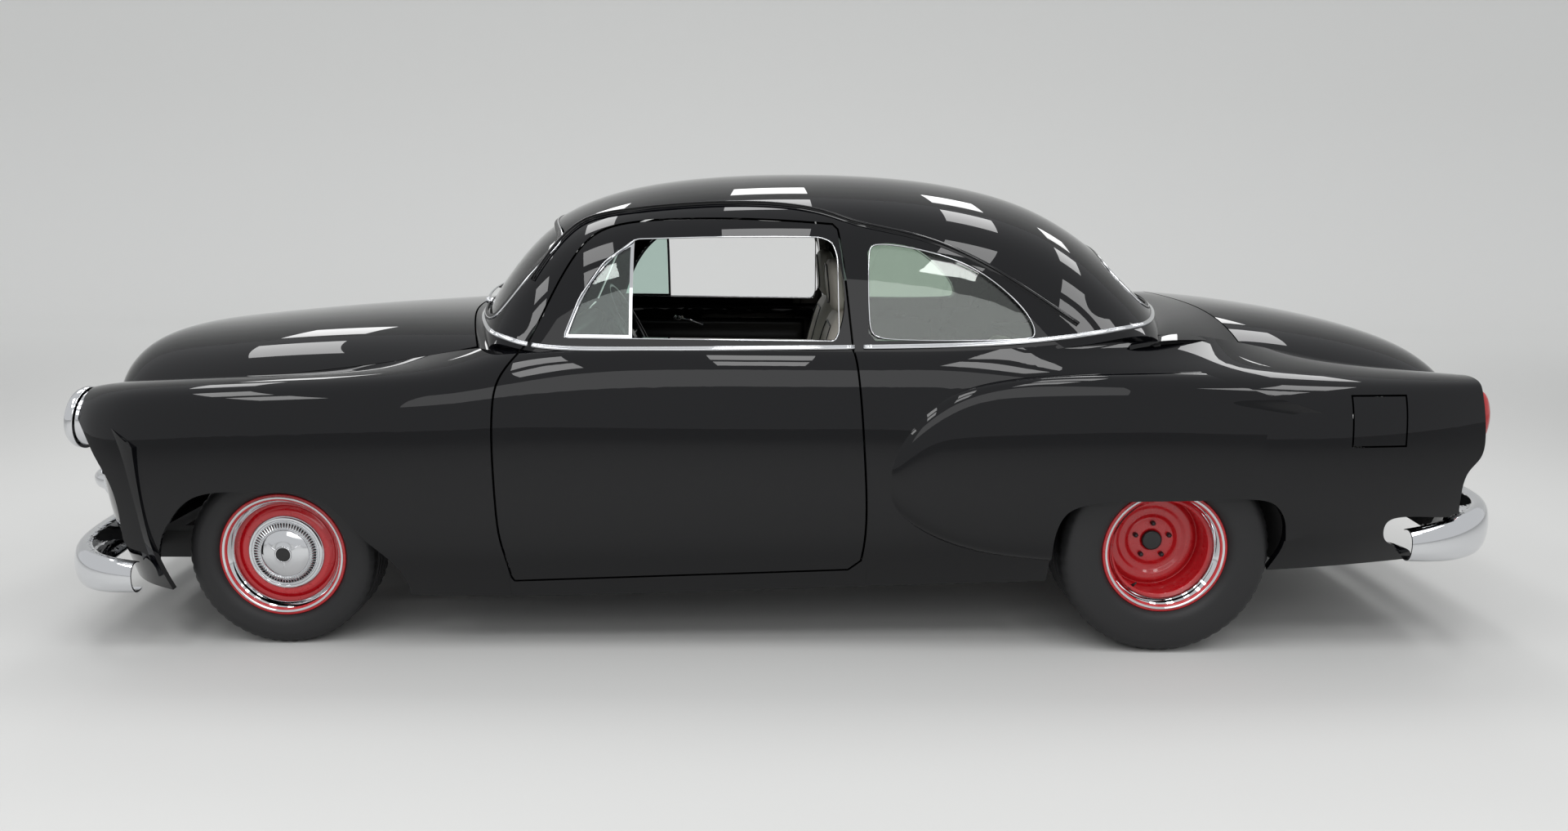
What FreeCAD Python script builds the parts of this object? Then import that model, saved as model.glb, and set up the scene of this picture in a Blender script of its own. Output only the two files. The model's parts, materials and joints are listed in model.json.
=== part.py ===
import FreeCAD, Part
import math
import os
import Sketcher
from FreeCAD import Placement, Rotation, Vector

# A two-door coupe of the early nineteen-fifties, lowered, with a narrowed rear axle on wide tyres.
# X points forward, Y to the car's left and Z up. The origin is on the ground below the middle.
# A station share runs from -1 at the front bumper over 0 and 1 at the axles to 2 at the rear bumper.
# A width share is a share of half the overall width, and a height share one of the roof's height.

doc = FreeCAD.newDocument("HotRod")

# Driving dimensions in millimetres and degrees
SIZES = (
    ("wheelbase", 2921),
    ("front_overhang", 800),
    ("rear_overhang", 1245),
    ("overall_width", 1905),
    ("roof_height", 1573),
    ("panel_gap", 7),
    ("seat_gap", 0.3),
    ("cut_overrun", 40),
    ("fender_wall", 13),
    ("quarter_wall", 26),
    ("door_wall", 70),
    ("roof_wall", 36),
    ("lid_wall", 20),
    ("front_panel_wall", 14),
    ("glass_depth", 12),
    ("glass_thickness", 5),
    ("front_tyre_radius", 305),
    ("front_tyre_width", 205),
    ("front_wheel_y", 720),
    ("rear_tyre_radius", 348),
    ("rear_tyre_width", 290),
    ("rear_wheel_y", 745),
    ("bead_radius", 190),
    ("flange_radius", 208),
    ("flange_thickness", 8),
    ("rim_thickness", 6),
    ("rim_well_radius", 165),
    ("front_rim_width", 165),
    ("rear_rim_width", 244),
    ("disc_thickness", 12),
    ("front_disc_inset", 45),
    ("rear_disc_inset", 150),
    ("hub_radius", 75),
    ("running_clearance", 0.05),
    ("brake_depth", 60),
    ("hub_cap_radius", 128),
    ("hub_cap_depth", 44),
    ("hub_cap_wall", 3),
    ("hub_cap_rib_height", 4),
    ("bolt_circle_radius", 60.325),
    ("king_pin_y", 610),
    ("king_pin_radius", 16),
    ("axle_tube_radius", 38),
    ("differential_radius", 150),
    ("brake_drum_radius", 140),
    ("spindle_radius", 24),
    ("knuckle_radius", 22),
    ("knuckle_height", 190),
    ("arm_thickness", 24),
    ("arm_width", 70),
    ("frame_rail_height", 100),
    ("frame_rail_width", 64),
    ("frame_rail_y", 400),
    ("frame_rail_floor", 180),
    ("frame_kick_up", 212),
    ("floor_height", 300),
    ("floor_thickness", 24),
    ("floor_half_width", 775),
    ("trunk_floor_height", 500),
    ("tunnel_width", 188),
    ("gearbox_tunnel_width", 300),
    ("tunnel_height", 160),
    ("tub_gap", 45),
    ("tub_wall", 8),
    ("tub_inner_y", 570),
    ("engine_length", 720),
    ("engine_width", 520),
    ("engine_height", 620),
    ("tank_length", 500),
    ("tank_width", 700),
    ("tank_height", 180),
    ("headlamp_radius", 104),
    ("headlamp_depth", 120),
    ("headlamp_y", 700),
    ("headlamp_height", 738),
    ("bumper_wall", 5),
    ("front_bumper_height", 164),
    ("rear_bumper_height", 193),
    ("bumper_depth", 62),
    ("steering_wheel_radius", 192),
    ("steering_rim_radius", 12),
    ("steering_hub_radius", 34),
    ("steering_wheel_y", 370),
    ("steering_wheel_height", 1000),
    ("steering_tilt", 28),
    ("column_radius", 26),
    ("seat_width", 500),
    ("seat_y", 350),
    ("fuel_flap_wall", 9),
    ("plate_hole_spacing", 177.8),
    ("plate_hole_radius", 3.5),
    ("door_bevel_share", 0.21),
    ("door_hinge_inset", 9),
    ("exhaust_radius", 30),
    ("silencer_radius", 58),
    ("silencer_length", 420),
    ("exhaust_y", 240),
    ("shaft_radius", 38),
    ("spring_radius", 50),
    ("spring_wire", 7),
)

sheet = doc.addObject("Spreadsheet::Sheet", "Sizes")
for row, (alias, value) in enumerate(SIZES, 1):
    sheet.set("A%d" % row, alias)
    sheet.set("B%d" % row, str(value))
    sheet.setAlias("B%d" % row, alias)
doc.recompute()


class Named:
    """The sheet's values under their aliases."""


size = Named()
for alias, value in SIZES:
    setattr(size, alias, float(sheet.get(alias)))

overall_length = size.front_overhang + size.wheelbase + size.rear_overhang
half_width = size.overall_width / 2
front_axle_x = overall_length / 2 - size.front_overhang
rear_axle_x = front_axle_x - size.wheelbase
LEFT = 1
RIGHT = -1
CUBIC = 3
LINEAR = 1


def station(share):
    """X of a station share: front overhang, wheelbase and rear overhang each have a unit of their own."""
    if share < 0:
        return front_axle_x - share * size.front_overhang
    if share <= 1:
        return front_axle_x - share * size.wheelbase
    return rear_axle_x - (share - 1) * size.rear_overhang


def place(station_share, width_share, height_share, side=LEFT):
    """A point from its three shares."""
    return Vector(station(station_share), side * width_share * half_width, height_share * size.roof_height)


# Surfaces and solids from control nets

def clamped_knots(count, degree):
    """Even knots with full multiplicity at both ends."""
    spans = count - degree
    places = [index / spans for index in range(spans + 1)]
    return places, [degree + 1] + [1] * (spans - 1) + [degree + 1]


def net_face(net, degree_u=CUBIC, degree_v=CUBIC):
    """A B-spline face with the net's points as its poles."""
    knots_u, counts_u = clamped_knots(len(net), degree_u)
    knots_v, counts_v = clamped_knots(len(net[0]), degree_v)
    surface = Part.BSplineSurface()
    surface.buildFromPolesMultsKnots(net, counts_u, counts_v, knots_u, knots_v, False, False, degree_u, degree_v)
    return surface.toShape()


def wall_solid(outer, inner):
    """The solid between two nets of like size, closed by ruled faces along the four edges."""
    faces = [net_face(outer), net_face(inner)]
    edges = (
        (outer[0], inner[0]),
        (outer[-1], inner[-1]),
        ([line[0] for line in outer], [line[0] for line in inner]),
        ([line[-1] for line in outer], [line[-1] for line in inner]),
    )
    for outer_edge, inner_edge in edges:
        faces.append(net_face([list(pair) for pair in zip(outer_edge, inner_edge)], CUBIC, LINEAR))
    solid = Part.Solid(Part.Shell(faces))
    if solid.Volume < 0:
        solid.reverse()
    return solid


def offset_net(net, depth, inside):
    """The net moved by depth along its own normals, towards the point named inside."""
    rows = len(net)
    columns = len(net[0])
    moved = []
    for i in range(rows):
        line = []
        for j in range(columns):
            along = net[min(i + 1, rows - 1)][j] - net[max(i - 1, 0)][j]
            across = net[i][min(j + 1, columns - 1)] - net[i][max(j - 1, 0)]
            normal = along.cross(across)
            normal.normalize()
            if normal.dot(inside(net[i][j]) - net[i][j]) < 0:
                normal = normal * -1
            line.append(net[i][j] + normal * depth)
        moved.append(line)
    return moved


def mirrored_net(net):
    """The net across the middle plane."""
    return [[Vector(point.x, -point.y, point.z) for point in line] for line in net]


def full_width_net(half_net):
    """A net that runs from the left edge over the middle, its last column, to the right edge."""
    return [line + [Vector(point.x, -point.y, point.z) for point in reversed(line[:-1])] for line in half_net]


# Side-view and front-view outlines

def smooth_edges(runs):
    """A closed wire: runs of three or more points are smooth curves, and straight lines join the runs."""
    edges = []
    for index, run in enumerate(runs):
        if len(run) > 2:
            curve = Part.BSplineCurve()
            curve.interpolate(run)
            edges.append(curve.toShape())
        elif len(run) == 2:
            edges.append(Part.makeLine(run[0], run[1]))
        following = runs[(index + 1) % len(runs)][0]
        if run[-1].distanceToPoint(following) > size.seat_gap / 2:
            edges.append(Part.makeLine(run[-1], following))
    return Part.Wire(edges)


def grown(runs, gap):
    """The runs' flat points moved outwards by gap, square to the outline."""
    loop = [point for run in runs for point in run]
    count = len(loop)
    area = sum(loop[i][0] * loop[(i + 1) % count][1] - loop[(i + 1) % count][0] * loop[i][1] for i in range(count))
    turn = 1 if area > 0 else -1
    moved = []
    for i in range(count):
        before = loop[i - 1]
        here = loop[i]
        after = loop[(i + 1) % count]
        first = (here[0] - before[0], here[1] - before[1])
        second = (after[0] - here[0], after[1] - here[1])
        first_length = math.hypot(*first)
        second_length = math.hypot(*second)
        first_normal = (turn * first[1] / first_length, -turn * first[0] / first_length)
        second_normal = (turn * second[1] / second_length, -turn * second[0] / second_length)
        middle = (first_normal[0] + second_normal[0], first_normal[1] + second_normal[1])
        scale = 2 / (middle[0] ** 2 + middle[1] ** 2)
        moved.append((here[0] + gap * middle[0] * scale, here[1] + gap * middle[1] * scale))
    result = []
    start = 0
    for run in runs:
        result.append(moved[start:start + len(run)])
        start += len(run)
    return result


def side_prism(runs, near_share, far_share, side=LEFT):
    """The side-view outline carried across from one width share to another."""
    low = side * near_share * half_width
    high = side * far_share * half_width
    wire = smooth_edges([[Vector(x, low, z) for x, z in run] for run in runs])
    return Part.Face(wire).extrude(Vector(0, high - low, 0))


def front_prism(runs, back_x, front_x):
    """The front-view outline carried along from one X to another."""
    wire = smooth_edges([[Vector(back_x, y, z) for y, z in run] for run in runs])
    return Part.Face(wire).extrude(Vector(front_x - back_x, 0, 0))


def side_points(shares):
    """Flat side-view points from station and height shares."""
    return [(station(along), up * size.roof_height) for along, up in shares]


def box(low, high):
    """A box between two corners, in any order."""
    corner = Vector(min(low.x, high.x), min(low.y, high.y), min(low.z, high.z))
    return Part.makeBox(abs(high.x - low.x), abs(high.y - low.y), abs(high.z - low.z), corner)


def largest(shape):
    """The largest solid of a boolean's result."""
    return max(shape.Solids, key=lambda solid: solid.Volume)


def fused(shapes):
    """One solid from solids that meet."""
    joined = shapes[0].multiFuse(shapes[1:])
    return joined.removeSplitter()


def mirrored(shape):
    """The shape across the middle plane."""
    return shape.mirror(Vector(0, 0, 0), Vector(0, 1, 0))


def both_sides(shape):
    """The shape and its mirror image as one compound."""
    return Part.makeCompound([shape, mirrored(shape)])


def moved(shape, forward):
    """A copy of the shape, moved forward."""
    copy = shape.copy()
    copy.translate(Vector(forward, 0, 0))
    return copy


def rod(start, end, radius):
    """A round bar between two points."""
    along = end - start
    return Part.makeCylinder(radius, along.Length, start, along)


parts = []


def keep(name, shape):
    """A document object that holds a free-form shape."""
    thing = doc.addObject("Part::Feature", name)
    thing.Label = name
    thing.Shape = shape
    thing.Placement = Placement()
    parts.append(thing)
    return thing


def keep_both(name, shape):
    """The left piece and its mirror image on the right."""
    keep(name + "_left", shape)
    keep(name + "_right", mirrored(shape))


# Lamps
def revolved(points, centre, direction):
    """A solid of revolution: points are a distance along the axis and a radius."""
    axis = Vector(direction)
    axis.normalize()
    across = axis.cross(Vector(0, 1, 0))
    if across.Length < 0.5:
        across = axis.cross(Vector(0, 0, 1))
    across.normalize()
    corners = [centre + axis * along + across * radius for along, radius in points]
    face = Part.Face(Part.makePolygon(corners + corners[:1]))
    return face.revolve(centre, axis, 360)


LAMP_PROFILE_SHARES = (
    (0, 0), (0, 0.80), (0.62, 0.88), (0.62, 1.0), (0.76, 1.0), (0.86, 0.93), (0.90, 0.86), (0.97, 0.60), (1.0, 0.30), (1.0, 0),
)
LAMP_BACK_SHARE = -0.715
LAMP_TILT_SHARE = 0.12


LAMP_DIRECTION = Vector(1, 0, LAMP_TILT_SHARE)


def headlamp():
    """Bucket, bezel and lens of a headlamp, and the hole that it sits in."""
    centre = Vector(station(LAMP_BACK_SHARE), size.headlamp_y, size.headlamp_height)
    radius = size.headlamp_radius - 2 * size.seat_gap
    profile = [(along * size.headlamp_depth, across * radius) for along, across in LAMP_PROFILE_SHARES]
    hole = rod(centre - LAMP_DIRECTION * size.seat_gap, centre + LAMP_DIRECTION * size.front_overhang,
               size.headlamp_radius)
    return revolved(profile, centre, LAMP_DIRECTION), hole


lamp, lamp_hole = headlamp()
keep("headlamps", both_sides(lamp))

# Body side: each row is a station share, then width and height shares of the widest line, the bottom,
# the shoulder, the crest, the inner slope and the seam with the hood, roof or trunk lid
SIDE_SHARES = (
    (-0.8187, 0.840, 0.137, 0.808, 0.509, 0.735, 0.544, 0.630, 0.531, 0.532, 0.486),
    (-0.7500, 0.892, 0.135, 0.861, 0.509, 0.777, 0.552, 0.661, 0.544, 0.577, 0.518),
    (-0.6500, 0.934, 0.134, 0.905, 0.515, 0.829, 0.559, 0.693, 0.552, 0.604, 0.533),
    (-0.5000, 0.964, 0.132, 0.938, 0.524, 0.866, 0.568, 0.714, 0.559, 0.632, 0.545),
    (-0.2500, 0.978, 0.130, 0.955, 0.534, 0.887, 0.575, 0.740, 0.568, 0.661, 0.556),
    (0.0171, 0.984, 0.126, 0.961, 0.540, 0.892, 0.582, 0.761, 0.575, 0.680, 0.568),
    (0.1198, 0.983, 0.121, 0.961, 0.547, 0.896, 0.588, 0.782, 0.588, 0.714, 0.593),
    (0.2054, 0.980, 0.118, 0.957, 0.553, 0.905, 0.594, 0.819, 0.613, 0.738, 0.626),
    (0.2602, 0.978, 0.116, 0.955, 0.563, 0.919, 0.604, 0.887, 0.626, 0.840, 0.641),
    (0.3423, 0.977, 0.120, 0.953, 0.566, 0.929, 0.610, 0.909, 0.629, 0.892, 0.638),
    (0.4622, 0.977, 0.127, 0.952, 0.566, 0.931, 0.612, 0.911, 0.629, 0.892, 0.638),
    (0.5820, 0.977, 0.135, 0.952, 0.566, 0.931, 0.612, 0.911, 0.629, 0.892, 0.638),
    (0.6676, 0.976, 0.141, 0.952, 0.566, 0.931, 0.612, 0.911, 0.629, 0.892, 0.638),
    (0.7360, 0.974, 0.145, 0.948, 0.563, 0.929, 0.609, 0.909, 0.631, 0.890, 0.639),
    (0.8216, 0.973, 0.149, 0.946, 0.559, 0.929, 0.604, 0.892, 0.636, 0.880, 0.644),
    (0.9243, 0.974, 0.159, 0.947, 0.559, 0.929, 0.601, 0.840, 0.642, 0.850, 0.664),
    (1.0635, 0.982, 0.172, 0.952, 0.559, 0.919, 0.599, 0.777, 0.636, 0.714, 0.674),
    (1.3044, 0.992, 0.183, 0.955, 0.559, 0.905, 0.598, 0.756, 0.620, 0.640, 0.633),
    (1.5454, 0.971, 0.194, 0.934, 0.563, 0.887, 0.594, 0.735, 0.606, 0.633, 0.601),
    (1.7462, 0.929, 0.203, 0.903, 0.566, 0.861, 0.591, 0.719, 0.594, 0.619, 0.579),
    (1.8667, 0.892, 0.210, 0.871, 0.569, 0.840, 0.590, 0.703, 0.585, 0.604, 0.559),
)
# From the bottom up: how far each line stands in from the widest one, and its share of the way to the shoulder
SIDE_RISE_SHARES = ((0.079, 0), (0.037, 0.12), (0.008, 0.25), (0, 0.45), (0, 0.65), (0.006, 0.84))


def side_net():
    """The left side's outer net from the sill up to the seams."""
    net = []
    for along, widest, bottom, *upper in SIDE_SHARES:
        shoulder_height = upper[1]
        line = [
            place(along, widest - inset, bottom + rise * (shoulder_height - bottom))
            for inset, rise in SIDE_RISE_SHARES
        ]
        for index in range(0, len(upper), 2):
            line.append(place(along, upper[index], upper[index + 1]))
        net.append(line)
    return net


def towards_middle(point):
    """A point deep inside the car at the same station."""
    return Vector(point.x, 0, size.floor_height)


side_outer = side_net()
fender_inner = offset_net(side_outer, size.fender_wall, towards_middle)
quarter_inner = offset_net(side_outer, size.quarter_wall, towards_middle)
door_inner = [
    [Vector(point.x, point.y - size.door_wall, point.z - (size.panel_gap if index > 6 else 0))
     for index, point in enumerate(line)]
    for line in side_outer
]

# Greenhouse: rows run from the windshield's base over the roof to the rear window's base, and columns
# from the belt up to the middle of the roof
GREENHOUSE_SHARES = (
    ((0.2396, 0.824, 0.622), (0.2242, 0.706, 0.638), (0.2116, 0.560, 0.648),
     (0.2013, 0.394, 0.655), (0.1938, 0.207, 0.659), (0.1917, 0.000, 0.660)),
    ((0.2396, 0.829, 0.655), (0.2242, 0.714, 0.668), (0.2116, 0.567, 0.678),
     (0.2013, 0.399, 0.685), (0.1938, 0.210, 0.689), (0.1917, 0.000, 0.690)),
    ((0.2705, 0.877, 0.636), (0.2636, 0.814, 0.731), (0.2448, 0.651, 0.772),
     (0.2362, 0.441, 0.788), (0.2314, 0.220, 0.795), (0.2301, 0.000, 0.795)),
    ((0.3252, 0.887, 0.626), (0.3184, 0.842, 0.750), (0.3235, 0.751, 0.872),
     (0.3013, 0.514, 0.906), (0.2910, 0.262, 0.917), (0.2883, 0.000, 0.919)),
    ((0.4279, 0.889, 0.626), (0.4245, 0.840, 0.763), (0.4211, 0.775, 0.893),
     (0.4108, 0.556, 0.954), (0.4057, 0.294, 0.980), (0.4040, 0.000, 0.985)),
    ((0.5649, 0.890, 0.626), (0.5649, 0.840, 0.763), (0.5649, 0.782, 0.890),
     (0.5649, 0.588, 0.963), (0.5649, 0.315, 1.000), (0.5649, 0.000, 1.006)),
    ((0.7189, 0.887, 0.627), (0.7292, 0.837, 0.763), (0.7360, 0.775, 0.887),
     (0.7360, 0.567, 0.957), (0.7360, 0.304, 0.992), (0.7360, 0.000, 0.998)),
    ((0.8388, 0.877, 0.636), (0.8490, 0.824, 0.750), (0.8593, 0.751, 0.842),
     (0.8696, 0.535, 0.910), (0.8747, 0.283, 0.941), (0.8764, 0.000, 0.947)),
    ((0.9243, 0.856, 0.658), (0.9312, 0.808, 0.718), (0.9449, 0.714, 0.772),
     (0.9569, 0.504, 0.814), (0.9637, 0.262, 0.833), (0.9654, 0.000, 0.838)),
    ((0.9860, 0.808, 0.680), (0.9979, 0.714, 0.690), (1.0313, 0.567, 0.698),
     (1.0675, 0.388, 0.704), (1.0916, 0.199, 0.708), (1.0996, 0.000, 0.709)),
    ((0.9900, 0.812, 0.648), (1.0040, 0.716, 0.658), (1.0400, 0.568, 0.666),
     (1.0770, 0.389, 0.672), (1.1010, 0.199, 0.676), (1.1090, 0.000, 0.677)),
)
CABIN_MIDDLE_SHARES = (0.58, 0, 0.55)

cabin_middle = place(*CABIN_MIDDLE_SHARES)


def towards_cabin(point):
    """The middle of the cabin, for the greenhouse's normals."""
    return Vector(cabin_middle.x, 0, cabin_middle.z)


greenhouse_outer = full_width_net([[place(*shares) for shares in line] for line in GREENHOUSE_SHARES])
greenhouse_inner = offset_net(greenhouse_outer, size.roof_wall, towards_cabin)
glass_outer = offset_net(greenhouse_outer, size.glass_depth, towards_cabin)
glass_inner = offset_net(greenhouse_outer, size.glass_depth + size.glass_thickness, towards_cabin)

# Outlines in the side view, as station and height shares
DOOR_SHARES = (
    ((0.2879, 0.648), (0.2705, 0.613), (0.2581, 0.575), (0.2533, 0.525), (0.2523, 0.425),
     (0.2540, 0.324), (0.2571, 0.255), (0.2609, 0.220), (0.2660, 0.167)),
    ((0.2687, 0.159), (0.6436, 0.186)),
    ((0.6559, 0.207), (0.6583, 0.292), (0.6549, 0.429), (0.6498, 0.596), (0.6457, 0.718), (0.6412, 0.880)),
    ((0.6368, 0.889), (0.5573, 0.897), (0.4673, 0.897), (0.4047, 0.889), (0.3595, 0.863),
     (0.3317, 0.804), (0.3129, 0.741), (0.2951, 0.674)),
)
DOOR_WINDOW_SHARES = (
    ((0.3252, 0.661), (0.3423, 0.741), (0.3680, 0.811), (0.4005, 0.855)),
    ((0.4057, 0.858), (0.4793, 0.863), (0.5573, 0.865), (0.6066, 0.865)),
    ((0.6203, 0.855), (0.6258, 0.826), (0.6275, 0.675), (0.6231, 0.658)),
)
QUARTER_WINDOW_SHARES = (
    ((0.6600, 0.674), (0.6594, 0.836)),
    ((0.6635, 0.849), (0.6744, 0.853), (0.7107, 0.846), (0.7655, 0.819), (0.8028, 0.777),
     (0.8316, 0.727), (0.8432, 0.694), (0.8449, 0.671)),
    ((0.8388, 0.661), (0.6676, 0.659)),
)
FENDER_FRONT_SHARES = (
    (-0.8187, 0.496), (-0.7812, 0.483), (-0.7338, 0.456), (-0.6763, 0.410), (-0.6388, 0.381),
    (-0.5875, 0.273), (-0.5687, 0.227), (-0.5000, 0.213), (-0.4850, 0.197), (-0.4913, 0.121),
)
TAIL_SHARES = (
    (1.8145, 0.592), (1.8185, 0.529), (1.8257, 0.477), (1.8169, 0.425), (1.7880, 0.399),
    (1.7727, 0.354), (1.7767, 0.306),
)
TAIL_NOTCH_SHARES = (
    (1.7526, 0.306), (1.6056, 0.304), (1.5679, 0.292), (1.5727, 0.257), (1.6257, 0.235), (1.6297, 0.127),
)
# Wheel arches: shares of the tyre's radius behind the axle, and height shares
FRONT_ARCH_SHARES = (
    ((-1.246, 0.095), (-1.230, 0.145), (-1.138, 0.230), (-1.072, 0.262), (-0.951, 0.297), (-0.820, 0.325),
     (-0.675, 0.341), (-0.498, 0.349), (-0.121, 0.352), (0.361, 0.350), (0.561, 0.340), (0.725, 0.319),
     (0.889, 0.284), (1.085, 0.242), (1.216, 0.218), (1.328, 0.191), (1.393, 0.095)),
)
REAR_ARCH_SHARES = (
    ((-1.138, 0.127), (-1.118, 0.216), (-1.106, 0.273), (-1.006, 0.318), (-0.813, 0.335), (-0.451, 0.342),
     (0.305, 0.345), (0.750, 0.346), (0.899, 0.338), (1.006, 0.313), (1.052, 0.282), (1.052, 0.233),
     (1.009, 0.200), (0.989, 0.127)),
)
INSIDE_SHARE = 0.3
OUTSIDE_SHARE = 1.15


# The rear fender's bulge: its outline on the body side from the crest round the nose to the bottom, as station and
# height shares, the place that it fades towards, and across it the share of the way there and the height of the
# bulge as a share of the body's half width
BULGE_OUTLINE_SHARES = (
    (1.060, 0.602), (0.930, 0.602), (0.838, 0.597), (0.775, 0.579), (0.740, 0.553), (0.715, 0.514), (0.693, 0.466),
    (0.681, 0.414), (0.679, 0.363), (0.684, 0.317), (0.718, 0.268), (0.764, 0.232), (0.820, 0.211), (0.905, 0.200),
    (1.010, 0.190),
)
BULGE_END_SHARES = (1.42, 0.400)
BULGE_RISE_SHARES = (
    (0, -0.012), (0.012, 0.006), (0.035, 0.0215), (0.10, 0.0265), (0.25, 0.0275), (0.45, 0.0235), (0.65, 0.0130),
    (0.85, 0.0005), (1, -0.008),
)
BULGE_END_SPREAD_SHARE = 0.55
NEWTON_STEPS = 12


def side_place(surface, x, z):
    """The body side's point at that length and height."""
    low_u, high_u, low_v, high_v = surface.bounds()
    u = low_u + (high_u - low_u) / 2
    v = low_v + (high_v - low_v) / 2
    for _ in range(NEWTON_STEPS):
        point = surface.value(u, v)
        along = surface.getDN(u, v, 1, 0)
        across = surface.getDN(u, v, 0, 1)
        determinant = along.x * across.z - along.z * across.x
        miss_x = x - point.x
        miss_z = z - point.z
        u = min(max(u + (miss_x * across.z - miss_z * across.x) / determinant, low_u), high_u)
        v = min(max(v + (miss_z * along.x - miss_x * along.z) / determinant, low_v), high_v)
    return surface.value(u, v)


def bulge_net(depth):
    """The bulge's net on the body side, sunk by depth."""
    surface = net_face(side_outer).Surface
    end_x, end_z = side_points([BULGE_END_SHARES])[0]
    net = []
    for x, z in side_points(BULGE_OUTLINE_SHARES):
        line = []
        for share, rise in BULGE_RISE_SHARES:
            target_z = end_z + (z - end_z) * BULGE_END_SPREAD_SHARE
            point = side_place(surface, x + (end_x - x) * share, z + (target_z - z) * share)
            line.append(point + Vector(0, rise * half_width - depth, 0))
        net.append(line)
    return net


def rear_bulge():
    """The solid that swells the rear fender."""
    return wall_solid(bulge_net(0), bulge_net(size.quarter_wall / 2))


def door_prism(gap):
    """The door's outline, grown by gap; the rear edge leans forward inside, square to its swing."""
    runs = grown([side_points(run) for run in DOOR_SHARES], gap)
    outside_y = OUTSIDE_SHARE * half_width
    inside_y = INSIDE_SHARE * half_width
    lean = (outside_y - inside_y) * size.door_bevel_share
    front_x = station(DOOR_SHARES[1][0][0])
    rear_x = station(DOOR_SHARES[1][1][0])
    skin_y = SIDE_SHARES[8][1] * half_width
    skin_lean = (outside_y - skin_y) * size.door_bevel_share

    def leaned(point, y, shift):
        share = min(max((front_x - point[0]) / (front_x - rear_x), 0), 1)
        return Vector(point[0] + shift * share, y, point[1])

    outer = smooth_edges([[leaned(point, outside_y, -skin_lean) for point in run] for run in runs])
    inner = smooth_edges([[leaned(point, inside_y, lean - skin_lean) for point in run] for run in runs])
    return Part.makeLoft([outer, inner], True, True)


def arch_prism(shares, axle_x, radius):
    """A wheel arch's opening."""
    runs = [[(axle_x - along * radius, up * size.roof_height) for along, up in run] for run in shares]
    return side_prism(runs, INSIDE_SHARE, OUTSIDE_SHARE)


def behind(shares, far_share):
    """A closed outline of everything on one side of a line of points, out to a far station share."""
    points = side_points(shares)
    far_x = station(far_share)
    return [points, [(far_x, points[-1][1]), (far_x, points[0][1])]]


door_tool = door_prism(0)
door_opening = door_prism(size.panel_gap)
door_window = [side_points(run) for run in DOOR_WINDOW_SHARES]
quarter_window = [side_points(run) for run in QUARTER_WINDOW_SHARES]
window_tool = side_prism(door_window, INSIDE_SHARE, OUTSIDE_SHARE)
quarter_window_tool = side_prism(quarter_window, INSIDE_SHARE, OUTSIDE_SHARE)

FENDER_REAR_SHARE = 0.30
QUARTER_FRONT_SHARE = 0.60
SILL_ENDS_SHARES = (0.2620, 0.6620)
SILL_TOP_SHARE = 0.185
NOSE_SHARE = -1.1
END_SHARE = 2.1
ROOF_SHARE = 1.1


def slab(front_share, rear_share, low_share=0, high_share=ROOF_SHARE):
    """A box over the left side between two stations and two heights."""
    return box(
        Vector(station(front_share), 0, low_share * size.roof_height),
        Vector(station(rear_share), OUTSIDE_SHARE * half_width, high_share * size.roof_height),
    )


def front_fender(greenhouse):
    """The fender from the lamp to the door, with its arch and its sloping front edge."""
    wall = wall_solid(side_outer, fender_inner).common(slab(NOSE_SHARE, FENDER_REAR_SHARE))
    arch = arch_prism(FRONT_ARCH_SHARES, front_axle_x, size.front_tyre_radius)
    front = side_prism(behind(FENDER_FRONT_SHARES, NOSE_SHARE), INSIDE_SHARE, OUTSIDE_SHARE)
    below = slab(SILL_ENDS_SHARES[0], QUARTER_FRONT_SHARE, 0, SILL_TOP_SHARE)
    return largest(wall.cut(arch).cut(front).cut(door_opening).cut(below).cut(greenhouse).cut(lamp_hole))


def quarter_panel(greenhouse):
    """The rear side from the door to the tail, with its arch, window and bumper notch."""
    wall = wall_solid(side_outer, quarter_inner).common(slab(QUARTER_FRONT_SHARE, END_SHARE))
    wall = fused([largest(wall), rear_bulge()])
    arch = arch_prism(REAR_ARCH_SHARES, rear_axle_x, size.rear_tyre_radius)
    tail = side_prism(behind(TAIL_SHARES, END_SHARE), INSIDE_SHARE, OUTSIDE_SHARE)
    notch = side_prism(behind(TAIL_NOTCH_SHARES, END_SHARE), INSIDE_SHARE, OUTSIDE_SHARE)
    below = slab(FENDER_REAR_SHARE, SILL_ENDS_SHARES[1], 0, SILL_TOP_SHARE)
    return largest(wall.cut(arch).cut(tail).cut(notch).cut(door_opening).cut(below).cut(greenhouse))


def door():
    """The whole door: a deep lower part and a slimmer frame round the window."""
    lower = wall_solid(side_outer, door_inner).common(door_tool)
    upper = wall_solid(greenhouse_outer, greenhouse_inner).common(door_tool)
    whole = fused([largest(lower), largest(upper)])
    return largest(whole.cut(window_tool))


# The windshield and rear window in the front view: width and height shares of the left half
WINDSHIELD_SHARES = ((0, 0.702), (0.20, 0.701), (0.40, 0.698), (0.60, 0.691), (0.70, 0.687), (0.745, 0.695),
                     (0.748, 0.735), (0.735, 0.780), (0.712, 0.825), (0.685, 0.853), (0.62, 0.872), (0.50, 0.885),
                     (0.35, 0.893), (0.17, 0.899), (0, 0.900))
REAR_WINDOW_SHARES = ((0, 0.722), (0.18, 0.721), (0.35, 0.718), (0.48, 0.714), (0.56, 0.713), (0.598, 0.725),
                      (0.590, 0.755), (0.560, 0.788), (0.50, 0.812), (0.40, 0.829), (0.20, 0.843), (0, 0.847))
WINDSHIELD_SPAN_SHARES = (0.12, 0.36)
REAR_WINDOW_SPAN_SHARES = (0.80, 1.18)


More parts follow.
